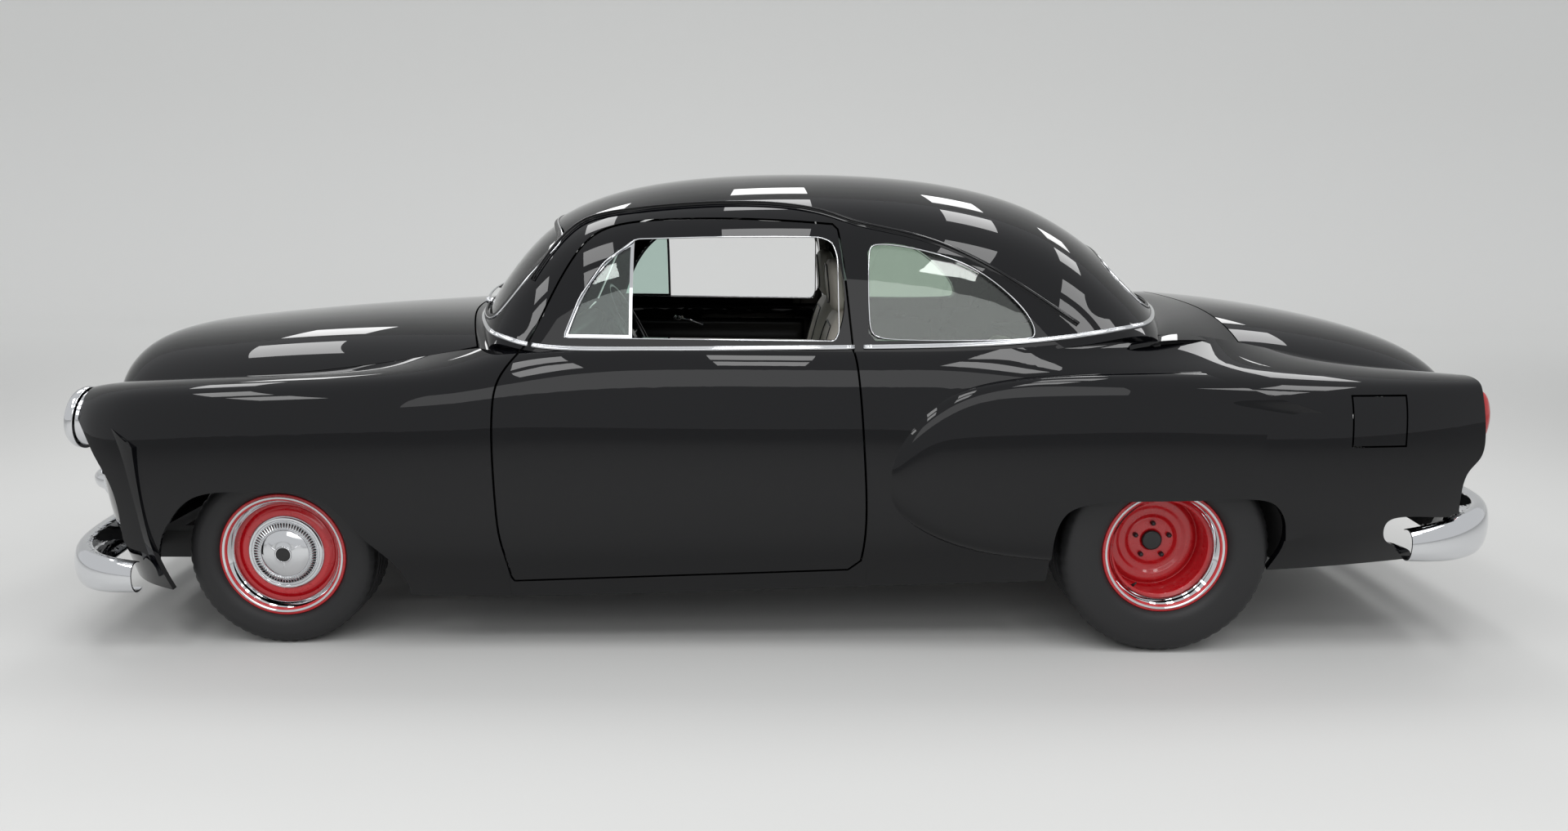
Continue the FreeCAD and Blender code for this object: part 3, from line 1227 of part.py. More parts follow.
def frame():
    """The ladder frame with its bumper irons and the front crossmember under the engine."""
    lower = [Vector(station(along), rail_inner_y, size.frame_rail_floor + up * size.frame_kick_up)
             for along, up in RAIL_SHARES]
    upper = [point + Vector(0, 0, size.frame_rail_height) for point in reversed(lower)]
    loop = lower + upper
    rail = Part.Face(Part.makePolygon(loop + loop[:1])).extrude(Vector(0, size.frame_rail_width, 0))
    half = size.arm_width / 2
    pipe_room = rod(exhaust_point(EXHAUST_SHARES[0]), exhaust_point(EXHAUST_SHARES[-1]),
                    size.exhaust_radius + size.panel_gap)
    tower = box(
        Vector(front_axle_x - half, rail_inner_y, rail_top),
        Vector(front_axle_x + half, rail_outer_y, king_pin_high + size.seat_gap + size.arm_thickness))
    pieces = [rail, mirrored(rail), tower, mirrored(tower)]
    for share in CROSSMEMBER_SHARES:
        raised = size.frame_kick_up if share > 0.8 else 0
        low = size.frame_rail_floor + raised
        member = box(
            Vector(station(share) - half, -rail_inner_y, low),
            Vector(station(share) + half, rail_inner_y, low + size.frame_rail_height))
        pieces.append(member.cut(pipe_room).cut(mirrored(pipe_room)))
    cradle_top = size.frame_rail_floor + size.frame_rail_height / 3
    pieces.append(box(
        Vector(front_axle_x - 1.5 * half, -rail_inner_y, size.frame_rail_floor - size.frame_rail_height / 3),
        Vector(front_axle_x + 1.5 * half, rail_inner_y, cradle_top)))
    foot = box(
        Vector(front_axle_x - 1.5 * half, rail_inner_y, size.frame_rail_floor - size.frame_rail_height / 3),
        Vector(front_axle_x + 1.5 * half, rail_outer_y, size.frame_rail_floor))
    pieces += [foot, mirrored(foot)]
    front = iron(FRONT_IRON_SHARES, front_iron_low, 0).cut(moved(front_bumper, -size.seat_gap))
    rear = iron(REAR_IRON_SHARES, rear_iron_low, 0).cut(moved(rear_bumper, size.seat_gap))
    for shape in (largest(front), largest(rear)):
        pieces += [shape, mirrored(shape)]
    return fused(pieces)


keep("frame", frame())

engine_floor = size.frame_rail_floor + size.frame_rail_height / 3 + size.seat_gap
engine = doc.addObject("Part::Box", "engine")
engine.Label = "engine"
engine.setExpression("Length", "Sizes.engine_length")
engine.setExpression("Width", "Sizes.engine_width")
engine.setExpression("Height", "Sizes.engine_height")
engine.Placement = Placement(
    Vector(station(ENGINE_FRONT_SHARE) - size.engine_length, -size.engine_width / 2, engine_floor), Rotation())
parts.append(engine)

tank = doc.addObject("Part::Box", "fuel_tank")
tank.Label = "fuel_tank"
tank.setExpression("Length", "Sizes.tank_length")
tank.setExpression("Width", "Sizes.tank_width")
tank.setExpression("Height", "Sizes.tank_height")
TANK_REAR_SHARE = 1.725
tank.Placement = Placement(
    Vector(station(TANK_REAR_SHARE), -size.tank_width / 2,
           size.trunk_floor_height - size.seat_gap - size.tank_height), Rotation())
parts.append(tank)


def rear_suspension():
    """A coil-over each side behind the axle, with the link that runs forward to the frame."""
    lean_x = rear_axle_x - size.axle_tube_radius - size.spring_radius
    top_z = size.trunk_floor_height - size.seat_gap
    y = rail_outer_y + size.spring_radius + size.spring_wire
    foot = Vector(lean_x, y, size.rear_tyre_radius - size.spring_radius * 2)
    head = Vector(lean_x, y, top_z)
    body = rod(foot, head, size.spring_radius * 0.5)
    rings = 8
    coils = []
    for index in range(rings):
        height = foot.z + (top_z - foot.z) * (index + 0.5) / rings
        coils.append(Part.makeCylinder(size.spring_radius, size.spring_wire * 2, Vector(lean_x, y, height - size.spring_wire)))
    link_end = Vector(station(0.86), y, size.frame_rail_floor + size.frame_rail_height)
    eye = Vector(rear_axle_x - size.axle_tube_radius - size.seat_gap - size.spring_wire * 2, y, foot.z)
    link = rod(foot + Vector(0, 0, size.spring_wire * 2), link_end, size.spring_wire * 2)
    return fused([body, link] + coils)


keep("rear_suspension", both_sides(rear_suspension()))


def exhaust():
    """One pipe a side from the engine, with a silencer under the floor."""
    start, silencer, end = [exhaust_point(share) for share in EXHAUST_SHARES]
    start.x = station(ENGINE_FRONT_SHARE) - size.engine_length - size.seat_gap
    return fused([
        rod(start, end, size.exhaust_radius),
        rod(silencer, silencer - Vector(size.silencer_length, 0, 0), size.silencer_radius),
    ])


keep("exhaust", both_sides(exhaust()))

# Floor, firewall, sills and wheel tubs
FIREWALL_SHARE = 0.232
FIREWALL_HALF_SHARE = 0.66
FIREWALL_TOP_SHARE = 0.612
RISER_SHARE = 0.775
TUNNEL_BEND_SHARE = 0.385
FLOOR_REAR_SHARE = 1.76
SHELF_SHARES = (0.9021, 1.04)
SHELF_HEIGHT_SHARE = 0.585


def floor_pan():
    """Front floor with its tunnel, firewall, riser, trunk floor and the tubs over the rear tyres."""
    low = size.floor_height
    thick = size.floor_thickness
    top = low + thick
    wall_x = station(FIREWALL_SHARE)
    riser_x = station(RISER_SHARE)
    end_x = station(FLOOR_REAR_SHARE)
    bend_x = station(TUNNEL_BEND_SHARE)
    inner = size.tub_inner_y
    trunk_top = size.trunk_floor_height + thick
    tunnel_top = top + size.tunnel_height
    wall_half = FIREWALL_HALF_SHARE * half_width
    pieces = [
        box(Vector(wall_x, -size.floor_half_width, low), Vector(riser_x, size.floor_half_width, top)),
        box(Vector(wall_x, -wall_half, low),
            Vector(wall_x + thick, wall_half, FIREWALL_TOP_SHARE * size.roof_height)),
        box(Vector(riser_x, -inner, low), Vector(riser_x - thick, inner, trunk_top)),
        box(Vector(riser_x, -inner, size.trunk_floor_height), Vector(end_x, inner, trunk_top)),
    ]
    hollows = []
    for half, front_x, rear_x in (
        (size.gearbox_tunnel_width / 2, wall_x, bend_x), (size.tunnel_width / 2, bend_x, riser_x),
    ):
        pieces.append(box(Vector(front_x, -half, low), Vector(rear_x, half, tunnel_top)))
        rear_wall = -thick if rear_x == bend_x else 2 * thick
        hollows.append(box(
            Vector(front_x + 2 * thick, thick - half, low - thick),
            Vector(rear_x - rear_wall, half - thick, tunnel_top - thick)))
    centre = Vector(rear_axle_x, inner, size.rear_tyre_radius)
    tub_radius = size.rear_tyre_radius + size.tub_gap
    across_tub = Vector(0, half_width - inner, 0)
    tub = rod(centre, centre + across_tub, tub_radius + size.tub_wall)
    room = rod(centre + Vector(0, size.tub_wall, 0), centre + across_tub, tub_radius)
    tub = tub.cut(room).cut(box(
        Vector(rear_axle_x - 2 * tub_radius, 0, 0), Vector(rear_axle_x + 2 * tub_radius, half_width, low)))
    axle_room = rod(Vector(rear_axle_x, -half_width, size.rear_tyre_radius),
                    Vector(rear_axle_x, half_width, size.rear_tyre_radius), size.axle_tube_radius + size.tub_gap)
    tub = tub.cut(room_in_side).cut(axle_room)
    tub = largest(tub)
    pieces += [tub, mirrored(tub)]
    whole = fused(pieces)
    column_hole = rod(column_point(0), column_point(-COLUMN_REACH_SHARE * 2), size.column_radius * 1.5)
    for tool in hollows + [column_hole]:
        whole = whole.cut(tool)
    return largest(whole)


# What lies outside the quarter panels' inner faces
room_in_side = wall_solid(side_outer, offset_net(side_outer, size.quarter_wall + size.seat_gap, towards_middle))

# Steering column: its line runs forward and down from the steering wheel's centre
COLUMN_REACH_SHARE = 0.16
STEERING_WHEEL_SHARE = 0.386


def column_point(along_share):
    """A point on the column's line; the share counts from the steering wheel, forward is negative."""
    distance = -along_share * size.wheelbase
    angle = math.radians(size.steering_tilt)
    return Vector(
        station(STEERING_WHEEL_SHARE) + distance * math.cos(angle), size.steering_wheel_y,
        size.steering_wheel_height - distance * math.sin(angle))


keep("floor_pan", floor_pan())


def sill():
    """The rocker panel below the door, with its inner flange up to the floor."""
    front = station(SILL_ENDS_SHARES[0]) - size.seat_gap
    rear = station(SILL_ENDS_SHARES[1]) + size.seat_gap
    room = box(Vector(front, 0, 0), Vector(rear, half_width, SILL_TOP_SHARE * size.roof_height))
    return largest(wall_solid(side_outer, quarter_inner).common(room).cut(door_opening))


keep("sills", both_sides(sill()))

# Inside the cabin
DASH_SHARES = (
    ((0.2321, 0.600), (0.268, 0.620), (0.286, 0.630), (0.298, 0.615), (0.296, 0.580), (0.286, 0.530)),
    ((0.270, 0.505), (0.2321, 0.520)),
)
DASH_WIDTH_SHARE = 0.745
SEAT_SHARES = (
    ((0.430, 0.2062), (0.425, 0.330), (0.435, 0.372), (0.500, 0.378), (0.560, 0.362), (0.585, 0.370),
     (0.600, 0.480), (0.622, 0.640), (0.628, 0.700), (0.612, 0.760), (0.612, 0.800), (0.630, 0.812),
     (0.648, 0.795), (0.652, 0.720), (0.652, 0.600), (0.640, 0.420), (0.628, 0.300)),
    )
REAR_SEAT_SHARES = (
    ((0.736, 0.2065), (0.728, 0.330), (0.738, 0.385), (0.800, 0.392), (0.836, 0.380)),
    ((0.858, 0.440), (0.884, 0.600)),
    ((0.902, 0.600), (0.895, 0.340)),
    ((0.7748, 0.3335), (0.7748, 0.2065)),
)
REAR_SEAT_WIDTH_SHARE = 0.59


def across(runs, half):
    """A side-view outline carried evenly across the middle."""
    wire = smooth_edges([[Vector(x, -half, z) for x, z in run] for run in runs])
    return Part.Face(wire).extrude(Vector(0, 2 * half, 0))


def dashboard():
    """Dash with the steering column through it."""
    dash = across([side_points(run) for run in DASH_SHARES], DASH_WIDTH_SHARE * half_width)
    hub = column_point(0) + (column_point(-1) - column_point(0)) * (size.steering_hub_radius / size.wheelbase)
    return fused([dash, rod(hub, column_point(-COLUMN_REACH_SHARE), size.column_radius)])


def seat_shape(runs, half):
    """A seat's closed side outline over its width."""
    return across([side_points(run) for run in runs], half)


keep("dashboard", dashboard())
front_seat = seat_shape([SEAT_SHARES[0]], size.seat_width / 2)
front_seat.translate(Vector(0, size.seat_y, 0))
keep("front_seats", both_sides(front_seat))
tunnel_room = box(
    Vector(station(SEAT_SHARES[0][0][0]), -size.tunnel_width / 2 - size.seat_gap, 0),
    Vector(station(RISER_SHARE) - size.floor_thickness, size.tunnel_width / 2 + size.seat_gap,
           size.floor_height + size.floor_thickness + size.tunnel_height + size.seat_gap))
keep("rear_seat", largest(seat_shape(REAR_SEAT_SHARES, REAR_SEAT_WIDTH_SHARE * half_width).cut(tunnel_room)))

shelf = box(
    Vector(station(SHELF_SHARES[0]), -0.74 * half_width, SHELF_HEIGHT_SHARE * size.roof_height),
    Vector(station(SHELF_SHARES[1]), 0.74 * half_width, SHELF_HEIGHT_SHARE * size.roof_height + size.lid_wall))
keep("rear_shelf", shelf)

# Steering wheel from primitives, on the column's line
rim = doc.addObject("Part::Torus", "steering_rim")
rim.setExpression("Radius1", "Sizes.steering_wheel_radius")
rim.setExpression("Radius2", "Sizes.steering_rim_radius")
hub = doc.addObject("Part::Cylinder", "steering_hub")
hub.setExpression("Radius", "Sizes.steering_hub_radius")
hub.setExpression("Height", "Sizes.steering_hub_radius - Sizes.seat_gap")
hub.Placement = Placement(Vector(0, 0, -size.steering_hub_radius + size.seat_gap), Rotation())
spokes = []
for number in range(3):
    spoke = doc.addObject("Part::Cylinder", "steering_spoke_%d" % (number + 1))
    spoke.setExpression("Radius", "Sizes.steering_rim_radius * 0.6")
    spoke.setExpression("Height", "Sizes.steering_wheel_radius")
    turn = Rotation(Vector(1, 0, 0), 90) if number == 0 else Rotation(Vector(0, 0, 1), 120 * number).multiply(Rotation(Vector(1, 0, 0), 90))
    spoke.Placement = Placement(Vector(0, 0, -size.steering_rim_radius), turn)
    spokes.append(spoke)
wheel = doc.addObject("Part::MultiFuse", "steering_wheel")
wheel.Label = "steering_wheel"
wheel.Shapes = [rim, hub] + spokes
wheel.Placement = Placement(column_point(0), Rotation(Vector(0, 1, 0), size.steering_tilt - 90))
parts.append(wheel)

# Tail lamps: an upright lens on each rear fender's end
TAIL_LAMP_SHARES = (1.856, 0.780, 0.495)
TAIL_LAMP_SIZE_SHARES = (0.028, 0.045, 0.060)


def tail_lamp():
    """A lens standing proud of the tail panel."""
    centre = place(*TAIL_LAMP_SHARES)
    ball = Part.makeSphere(1)
    matrix = FreeCAD.Matrix()
    matrix.scale(TAIL_LAMP_SIZE_SHARES[0] * size.rear_overhang, TAIL_LAMP_SIZE_SHARES[1] * half_width,
                 TAIL_LAMP_SIZE_SHARES[2] * size.roof_height)
    ball = ball.transformGeometry(matrix)
    ball.translate(centre)
    return ball


tail = [thing for thing in parts if thing.Label == "tail_panel"][0].Shape
lens = largest(tail_lamp().cut(tail).cut(moved(tail, -size.seat_gap)).cut(quarter))
keep("tail_lamps", both_sides(lens))

# Vent windows: a chrome frame with the post behind it, and its pane
VENT_SHARES = (
    ((0.3252, 0.661), (0.3423, 0.741), (0.3680, 0.811), (0.4005, 0.855)),
    ((0.4005, 0.6604),),
)
VENT_BORDER_SHARE = 0.0035


def vent_window():
    """Frame and pane of the vent window in the door."""
    runs = [side_points(run) for run in VENT_SHARES]
    border = VENT_BORDER_SHARE * size.wheelbase
    walls = wall_solid(
        offset_net(greenhouse_outer, size.glass_depth / 2, towards_cabin),
        offset_net(greenhouse_outer, size.glass_depth / 2 + 2 * size.glass_thickness, towards_cabin))
    outer = side_prism(grown(runs, -size.seat_gap), INSIDE_SHARE, OUTSIDE_SHARE)
    inner = side_prism(grown(runs, -border), INSIDE_SHARE, OUTSIDE_SHARE)
    pane_tool = side_prism(grown(runs, -border - size.seat_gap), INSIDE_SHARE, OUTSIDE_SHARE)
    glass = wall_solid(glass_outer, glass_inner)
    return largest(walls.common(outer).cut(inner)), largest(glass.common(pane_tool))


vent_frame, vent_glass = vent_window()
keep_both("vent_frame", vent_frame)
keep_both("vent_glass", vent_glass)

# Grille: a bowed bar with upright teeth across the opening
GRILLE_BAR_SHARES = ((-0.8000, 0.668), (-0.8400, 0.645), (-0.8900, 0.590), (-0.9120, 0.45), (-0.9280, 0.225), (-0.9330, 0))
GRILLE_BAR_HEIGHT_SHARE = 0.322
GRILLE_BAR_TALL_SHARE = 0.016
GRILLE_BAR_DEEP_SHARE = 0.024
GRILLE_TOOTH_WIDTH_SHARES = (0, 0.26, 0.50)
GRILLE_TOOTH_SIZE_SHARES = (0.030, 0.024, 0.052)


def ellipsoid(centre, deep, wide, tall):
    """A ball drawn out to three half sizes."""
    matrix = FreeCAD.Matrix()
    matrix.scale(deep, wide, tall)
    ball = Part.makeSphere(1).transformGeometry(matrix)
    ball.translate(centre)
    return ball


def grille():
    """The bar, its teeth and its rounded ends."""
    half = [place(along, width, GRILLE_BAR_HEIGHT_SHARE) for along, width in GRILLE_BAR_SHARES]
    line = half + [Vector(point.x, -point.y, point.z) for point in reversed(half[:-1])]
    sections = []
    for point in line:
        ellipse = Part.Ellipse(
            Vector(0, 0, 0), GRILLE_BAR_TALL_SHARE * size.roof_height, GRILLE_BAR_DEEP_SHARE * size.front_overhang)
        wire = Part.Wire([ellipse.toShape()])
        wire.Placement = Placement(point, Rotation(Vector(0, 0, 1), Vector(1, 0, 0), Vector(0, 1, 0), "ZXY"))
        sections.append(wire)
    bar = Part.makeLoft(sections, True, False)
    pieces = [bar]
    deep, wide, tall = GRILLE_TOOTH_SIZE_SHARES
    for width in GRILLE_TOOTH_WIDTH_SHARES:
        for side in (LEFT, RIGHT) if width else (LEFT,):
            along = -0.9330 + 0.075 * width ** 2
            centre = place(along, width, GRILLE_BAR_HEIGHT_SHARE, side)
            pieces.append(ellipsoid(
                centre, deep * size.front_overhang, wide * half_width, tall * size.roof_height))
    return fused(pieces)


bar = grille()
for step in (-size.seat_gap, 0, size.seat_gap):
    bar = bar.cut(moved(front_sheet, step))
keep("grille", largest(bar))

doc.recompute()

# Nothing is written unless every object is sound
failed = [
    thing.Label for thing in doc.Objects
    if any(word in ("Invalid", "Error") for word in thing.State)
]
failed += [thing.Label for thing in parts if thing.Shape.isNull() or not thing.Shape.isValid()]
if failed:
    raise RuntimeError("these objects failed: " + ", ".join(failed))

os.makedirs("parts", exist_ok=True)
for thing in parts:
    thing.Shape.exportStep("parts/%s.step" % thing.Label)
print("%d parts written" % len(parts))
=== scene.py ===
import json
import math

import bmesh
import bpy
import numpy as np
from mathutils import Matrix

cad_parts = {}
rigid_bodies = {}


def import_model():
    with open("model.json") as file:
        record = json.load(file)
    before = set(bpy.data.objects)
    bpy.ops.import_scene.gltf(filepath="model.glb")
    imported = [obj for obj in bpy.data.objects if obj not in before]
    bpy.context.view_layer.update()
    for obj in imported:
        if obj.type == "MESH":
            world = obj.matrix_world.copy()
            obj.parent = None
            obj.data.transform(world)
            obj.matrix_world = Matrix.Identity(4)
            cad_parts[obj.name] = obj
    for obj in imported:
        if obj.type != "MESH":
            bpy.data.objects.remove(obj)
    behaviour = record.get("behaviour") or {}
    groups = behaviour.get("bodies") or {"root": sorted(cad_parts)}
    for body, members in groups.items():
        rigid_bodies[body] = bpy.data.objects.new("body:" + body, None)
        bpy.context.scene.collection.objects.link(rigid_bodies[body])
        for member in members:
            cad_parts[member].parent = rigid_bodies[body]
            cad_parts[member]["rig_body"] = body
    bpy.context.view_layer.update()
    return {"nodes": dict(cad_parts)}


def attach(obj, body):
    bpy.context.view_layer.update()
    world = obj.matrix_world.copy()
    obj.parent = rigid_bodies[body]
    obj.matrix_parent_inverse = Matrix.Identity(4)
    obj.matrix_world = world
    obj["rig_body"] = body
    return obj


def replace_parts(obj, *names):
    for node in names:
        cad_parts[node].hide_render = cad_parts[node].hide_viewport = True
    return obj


bl_info = {
    "name": "Coupe Looks",
    "version": (1, 0, 0),
    "blender": (4, 5, 0),
    "location": "3D View > Sidebar > Coupe",
    "description": "Glossy panels, bright trim, wheels, lamps and seats of a lowered two-door coupe",
    "category": "Object",
}

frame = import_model()

# Sizes in metres. The nets' tables of shares are those of the CAD source: a station runs from -1 at the nose
# over 0 and 1 at the axles to 2 at the tail; widths and heights are shares of HALF_WIDTH and ROOF_HEIGHT.
MM = 0.001
FRONT_OVERHANG = 0.800
WHEELBASE = 2.921
REAR_OVERHANG = 1.245
HALF_WIDTH = 0.9525
ROOF_HEIGHT = 1.573
PANEL_GAP = 0.007
FRONT_AXLE_X = (FRONT_OVERHANG + WHEELBASE + REAR_OVERHANG) / 2 - FRONT_OVERHANG
REAR_AXLE_X = FRONT_AXLE_X - WHEELBASE
BUMPER_DEPTH = 0.062
FRONT_BUMPER_HEIGHT = 0.164
REAR_BUMPER_HEIGHT = 0.193
BULGE_END_SPREAD_SHARE = 0.55
FLOOR_Z = 0.3
CABIN_Z = 0.55 * ROOF_HEIGHT
MERGE_DISTANCE = MM * 0.01
ON_SKIN = 0.0012
SAME_WAY = 0.6
SPLIT_ROUNDS = 5
NEWTON_STEPS = 12
LEAST_SLOPE = 0.15
CREASE_ANGLE = math.radians(28)
LONGEST_CUT = 0.45
SIDES = ((1, "left"), (-1, "right"))

SIDE_SHARES = (
    (-0.8187, 0.840, 0.137, 0.808, 0.509, 0.735, 0.544, 0.630, 0.531, 0.532, 0.486),
    (-0.7500, 0.892, 0.135, 0.861, 0.509, 0.777, 0.552, 0.661, 0.544, 0.577, 0.518),
    (-0.6500, 0.934, 0.134, 0.905, 0.515, 0.829, 0.559, 0.693, 0.552, 0.604, 0.533),
    (-0.5000, 0.964, 0.132, 0.938, 0.524, 0.866, 0.568, 0.714, 0.559, 0.632, 0.545),
    (-0.2500, 0.978, 0.130, 0.955, 0.534, 0.887, 0.575, 0.740, 0.568, 0.661, 0.556),
    (0.0171, 0.984, 0.126, 0.961, 0.540, 0.892, 0.582, 0.761, 0.575, 0.680, 0.568),
    (0.1198, 0.983, 0.121, 0.961, 0.547, 0.896, 0.588, 0.782, 0.588, 0.714, 0.593),
    (0.2054, 0.980, 0.118, 0.957, 0.553, 0.905, 0.594, 0.819, 0.613, 0.738, 0.626),
    (0.2602, 0.978, 0.116, 0.955, 0.563, 0.919, 0.604, 0.887, 0.626, 0.840, 0.641),
    (0.3423, 0.977, 0.120, 0.953, 0.566, 0.929, 0.610, 0.909, 0.629, 0.892, 0.638),
    (0.4622, 0.977, 0.127, 0.952, 0.566, 0.931, 0.612, 0.911, 0.629, 0.892, 0.638),
    (0.5820, 0.977, 0.135, 0.952, 0.566, 0.931, 0.612, 0.911, 0.629, 0.892, 0.638),
    (0.6676, 0.976, 0.141, 0.952, 0.566, 0.931, 0.612, 0.911, 0.629, 0.892, 0.638),
    (0.7360, 0.974, 0.145, 0.948, 0.563, 0.929, 0.609, 0.909, 0.631, 0.890, 0.639),
    (0.8216, 0.973, 0.149, 0.946, 0.559, 0.929, 0.604, 0.892, 0.636, 0.880, 0.644),
    (0.9243, 0.974, 0.159, 0.947, 0.559, 0.929, 0.601, 0.840, 0.642, 0.850, 0.664),
    (1.0635, 0.982, 0.172, 0.952, 0.559, 0.919, 0.599, 0.777, 0.636, 0.714, 0.674),
    (1.3044, 0.992, 0.183, 0.955, 0.559, 0.905, 0.598, 0.756, 0.620, 0.640, 0.633),
    (1.5454, 0.971, 0.194, 0.934, 0.563, 0.887, 0.594, 0.735, 0.606, 0.633, 0.601),
    (1.7462, 0.929, 0.203, 0.903, 0.566, 0.861, 0.591, 0.719, 0.594, 0.619, 0.579),
    (1.8667, 0.892, 0.210, 0.871, 0.569, 0.840, 0.590, 0.703, 0.585, 0.604, 0.559),
)
SIDE_RISE_SHARES = ((0.079, 0), (0.037, 0.12), (0.008, 0.25), (0, 0.45), (0, 0.65), (0.006, 0.84))
GREENHOUSE_SHARES = (
    ((0.2396, 0.824, 0.622), (0.2242, 0.706, 0.638), (0.2116, 0.560, 0.648),
     (0.2013, 0.394, 0.655), (0.1938, 0.207, 0.659), (0.1917, 0.000, 0.660)),
    ((0.2396, 0.829, 0.655), (0.2242, 0.714, 0.668), (0.2116, 0.567, 0.678),
     (0.2013, 0.399, 0.685), (0.1938, 0.210, 0.689), (0.1917, 0.000, 0.690)),
    ((0.2705, 0.877, 0.636), (0.2636, 0.814, 0.731), (0.2448, 0.651, 0.772),
     (0.2362, 0.441, 0.788), (0.2314, 0.220, 0.795), (0.2301, 0.000, 0.795)),
    ((0.3252, 0.887, 0.626), (0.3184, 0.842, 0.750), (0.3235, 0.751, 0.872),
     (0.3013, 0.514, 0.906), (0.2910, 0.262, 0.917), (0.2883, 0.000, 0.919)),
    ((0.4279, 0.889, 0.626), (0.4245, 0.840, 0.763), (0.4211, 0.775, 0.893),
     (0.4108, 0.556, 0.954), (0.4057, 0.294, 0.980), (0.4040, 0.000, 0.985)),
    ((0.5649, 0.890, 0.626), (0.5649, 0.840, 0.763), (0.5649, 0.782, 0.890),
     (0.5649, 0.588, 0.963), (0.5649, 0.315, 1.000), (0.5649, 0.000, 1.006)),
    ((0.7189, 0.887, 0.627), (0.7292, 0.837, 0.763), (0.7360, 0.775, 0.887),
     (0.7360, 0.567, 0.957), (0.7360, 0.304, 0.992), (0.7360, 0.000, 0.998)),
    ((0.8388, 0.877, 0.636), (0.8490, 0.824, 0.750), (0.8593, 0.751, 0.842),
     (0.8696, 0.535, 0.910), (0.8747, 0.283, 0.941), (0.8764, 0.000, 0.947)),
    ((0.9243, 0.856, 0.658), (0.9312, 0.808, 0.718), (0.9449, 0.714, 0.772),
     (0.9569, 0.504, 0.814), (0.9637, 0.262, 0.833), (0.9654, 0.000, 0.838)),
    ((0.9860, 0.808, 0.680), (0.9979, 0.714, 0.690), (1.0313, 0.567, 0.698),
     (1.0675, 0.388, 0.704), (1.0916, 0.199, 0.708), (1.0996, 0.000, 0.709)),
    ((0.9900, 0.812, 0.648), (1.0040, 0.716, 0.658), (1.0400, 0.568, 0.666),
     (1.0770, 0.389, 0.672), (1.1010, 0.199, 0.676), (1.1090, 0.000, 0.677)),
)
HOOD_SHARES = (
    ((-0.9650, 0.483), (-0.8187, 0.525, 0.483)),
    ((-0.9600, 0.540), (-0.8125, 0.546, 0.502)),
    ((-0.8938, 0.594), (-0.7625, 0.572, 0.518)),
    ((-0.7500, 0.633), (-0.6500, 0.598, 0.531)),
    ((-0.5000, 0.648), (-0.4500, 0.630, 0.545)),
    ((-0.1250, 0.668), (-0.1125, 0.664, 0.559)),
    ((0.0685, 0.683), (0.0787, 0.693, 0.582)),
    ((0.1369, 0.690), (0.1609, 0.716, 0.607)),
    ((0.1814, 0.694), (0.2194, 0.735, 0.631)),
)
TRUNK_SHARES = (
    ((1.1679, 0.718), (1.2482, 0.619, 0.642)),
    ((1.2643, 0.715), (1.3044, 0.628, 0.631)),
    ((1.4249, 0.702), (1.4329, 0.630, 0.614)),
    ((1.6257, 0.676), (1.6096, 0.625, 0.594)),
    ((1.7863, 0.642), (1.7462, 0.619, 0.580)),
    ((1.8827, 0.604), (1.8345, 0.609, 0.563)),
    ((1.9349, 0.534), (1.8827, 0.598, 0.521)),
    ((1.9390, 0.470), (1.8908, 0.588, 0.470)),
    ((1.9309, 0.394), (1.8867, 0.583, 0.394)),
)
CROWN_SHARES = ((1, 0), (0.91, 0.36), (0.72, 0.76), (0.40, 0.96), (0, 1))
COWL_SHARES = (
    ((0.228, 0.810, 0.630), (0.226, 0.740, 0.648), (0.212, 0.585, 0.668), (0.200, 0.330, 0.684),
     (0.194, 0, 0.691)),
    ((0.242, 0.850, 0.636), (0.238, 0.760, 0.656), (0.224, 0.595, 0.672), (0.210, 0.330, 0.684),
     (0.203, 0, 0.688)),
    ((0.258, 0.860, 0.628), (0.252, 0.770, 0.640), (0.242, 0.595, 0.655), (0.226, 0.330, 0.664),
     (0.219, 0, 0.668)),
)
DECK_SHARES = (
    ((0.952, 0.835, 0.650), (0.972, 0.735, 0.662), (1.004, 0.580, 0.676), (1.040, 0.330, 0.684),
     (1.055, 0, 0.688)),
    ((0.985, 0.840, 0.664), (1.000, 0.752, 0.682), (1.035, 0.590, 0.699), (1.078, 0.330, 0.709),
     (1.103, 0, 0.713)),
    ((1.080, 0.760, 0.662), (1.096, 0.672, 0.674), (1.115, 0.520, 0.695), (1.132, 0.290, 0.712),
     (1.140, 0, 0.718)),
)
FRONT_PANEL_MIDDLE_SHARES = ((-0.9225, 0.467), (-0.9190, 0.381), (-0.9025, 0.286), (-0.8750, 0.210),
                             (-0.8310, 0.134))
FRONT_PANEL_PLAN_SHARES = ((0.968, 0.425), (0.945, 0.345), (0.893, 0.262), (0.745, 0.131), (0.525, 0.048),
                           (0.262, 0.010), (0, 0))
FRONT_PANEL_TOP_SHARES = (0.440, 0.470, 0.500, 0.520, 0.480, 0.467, 0.467)
TAIL_PANEL_MIDDLE_SHARES = ((1.8400, 0.545), (1.9150, 0.560), (1.9260, 0.480), (1.9240, 0.390),
                            (1.9050, 0.300), (1.8800, 0.215))
TAIL_PANEL_PLAN_SHARES = ((0.905, 0.160), (0.865, 0.110), (0.730, 0.050), (0.525, 0.020), (0.262, 0.005),
                          (0, 0))
TAIL_PANEL_TOP_SHARES = (0.545, 0.562, 0.570, 0.545, 0.545, 0.545)
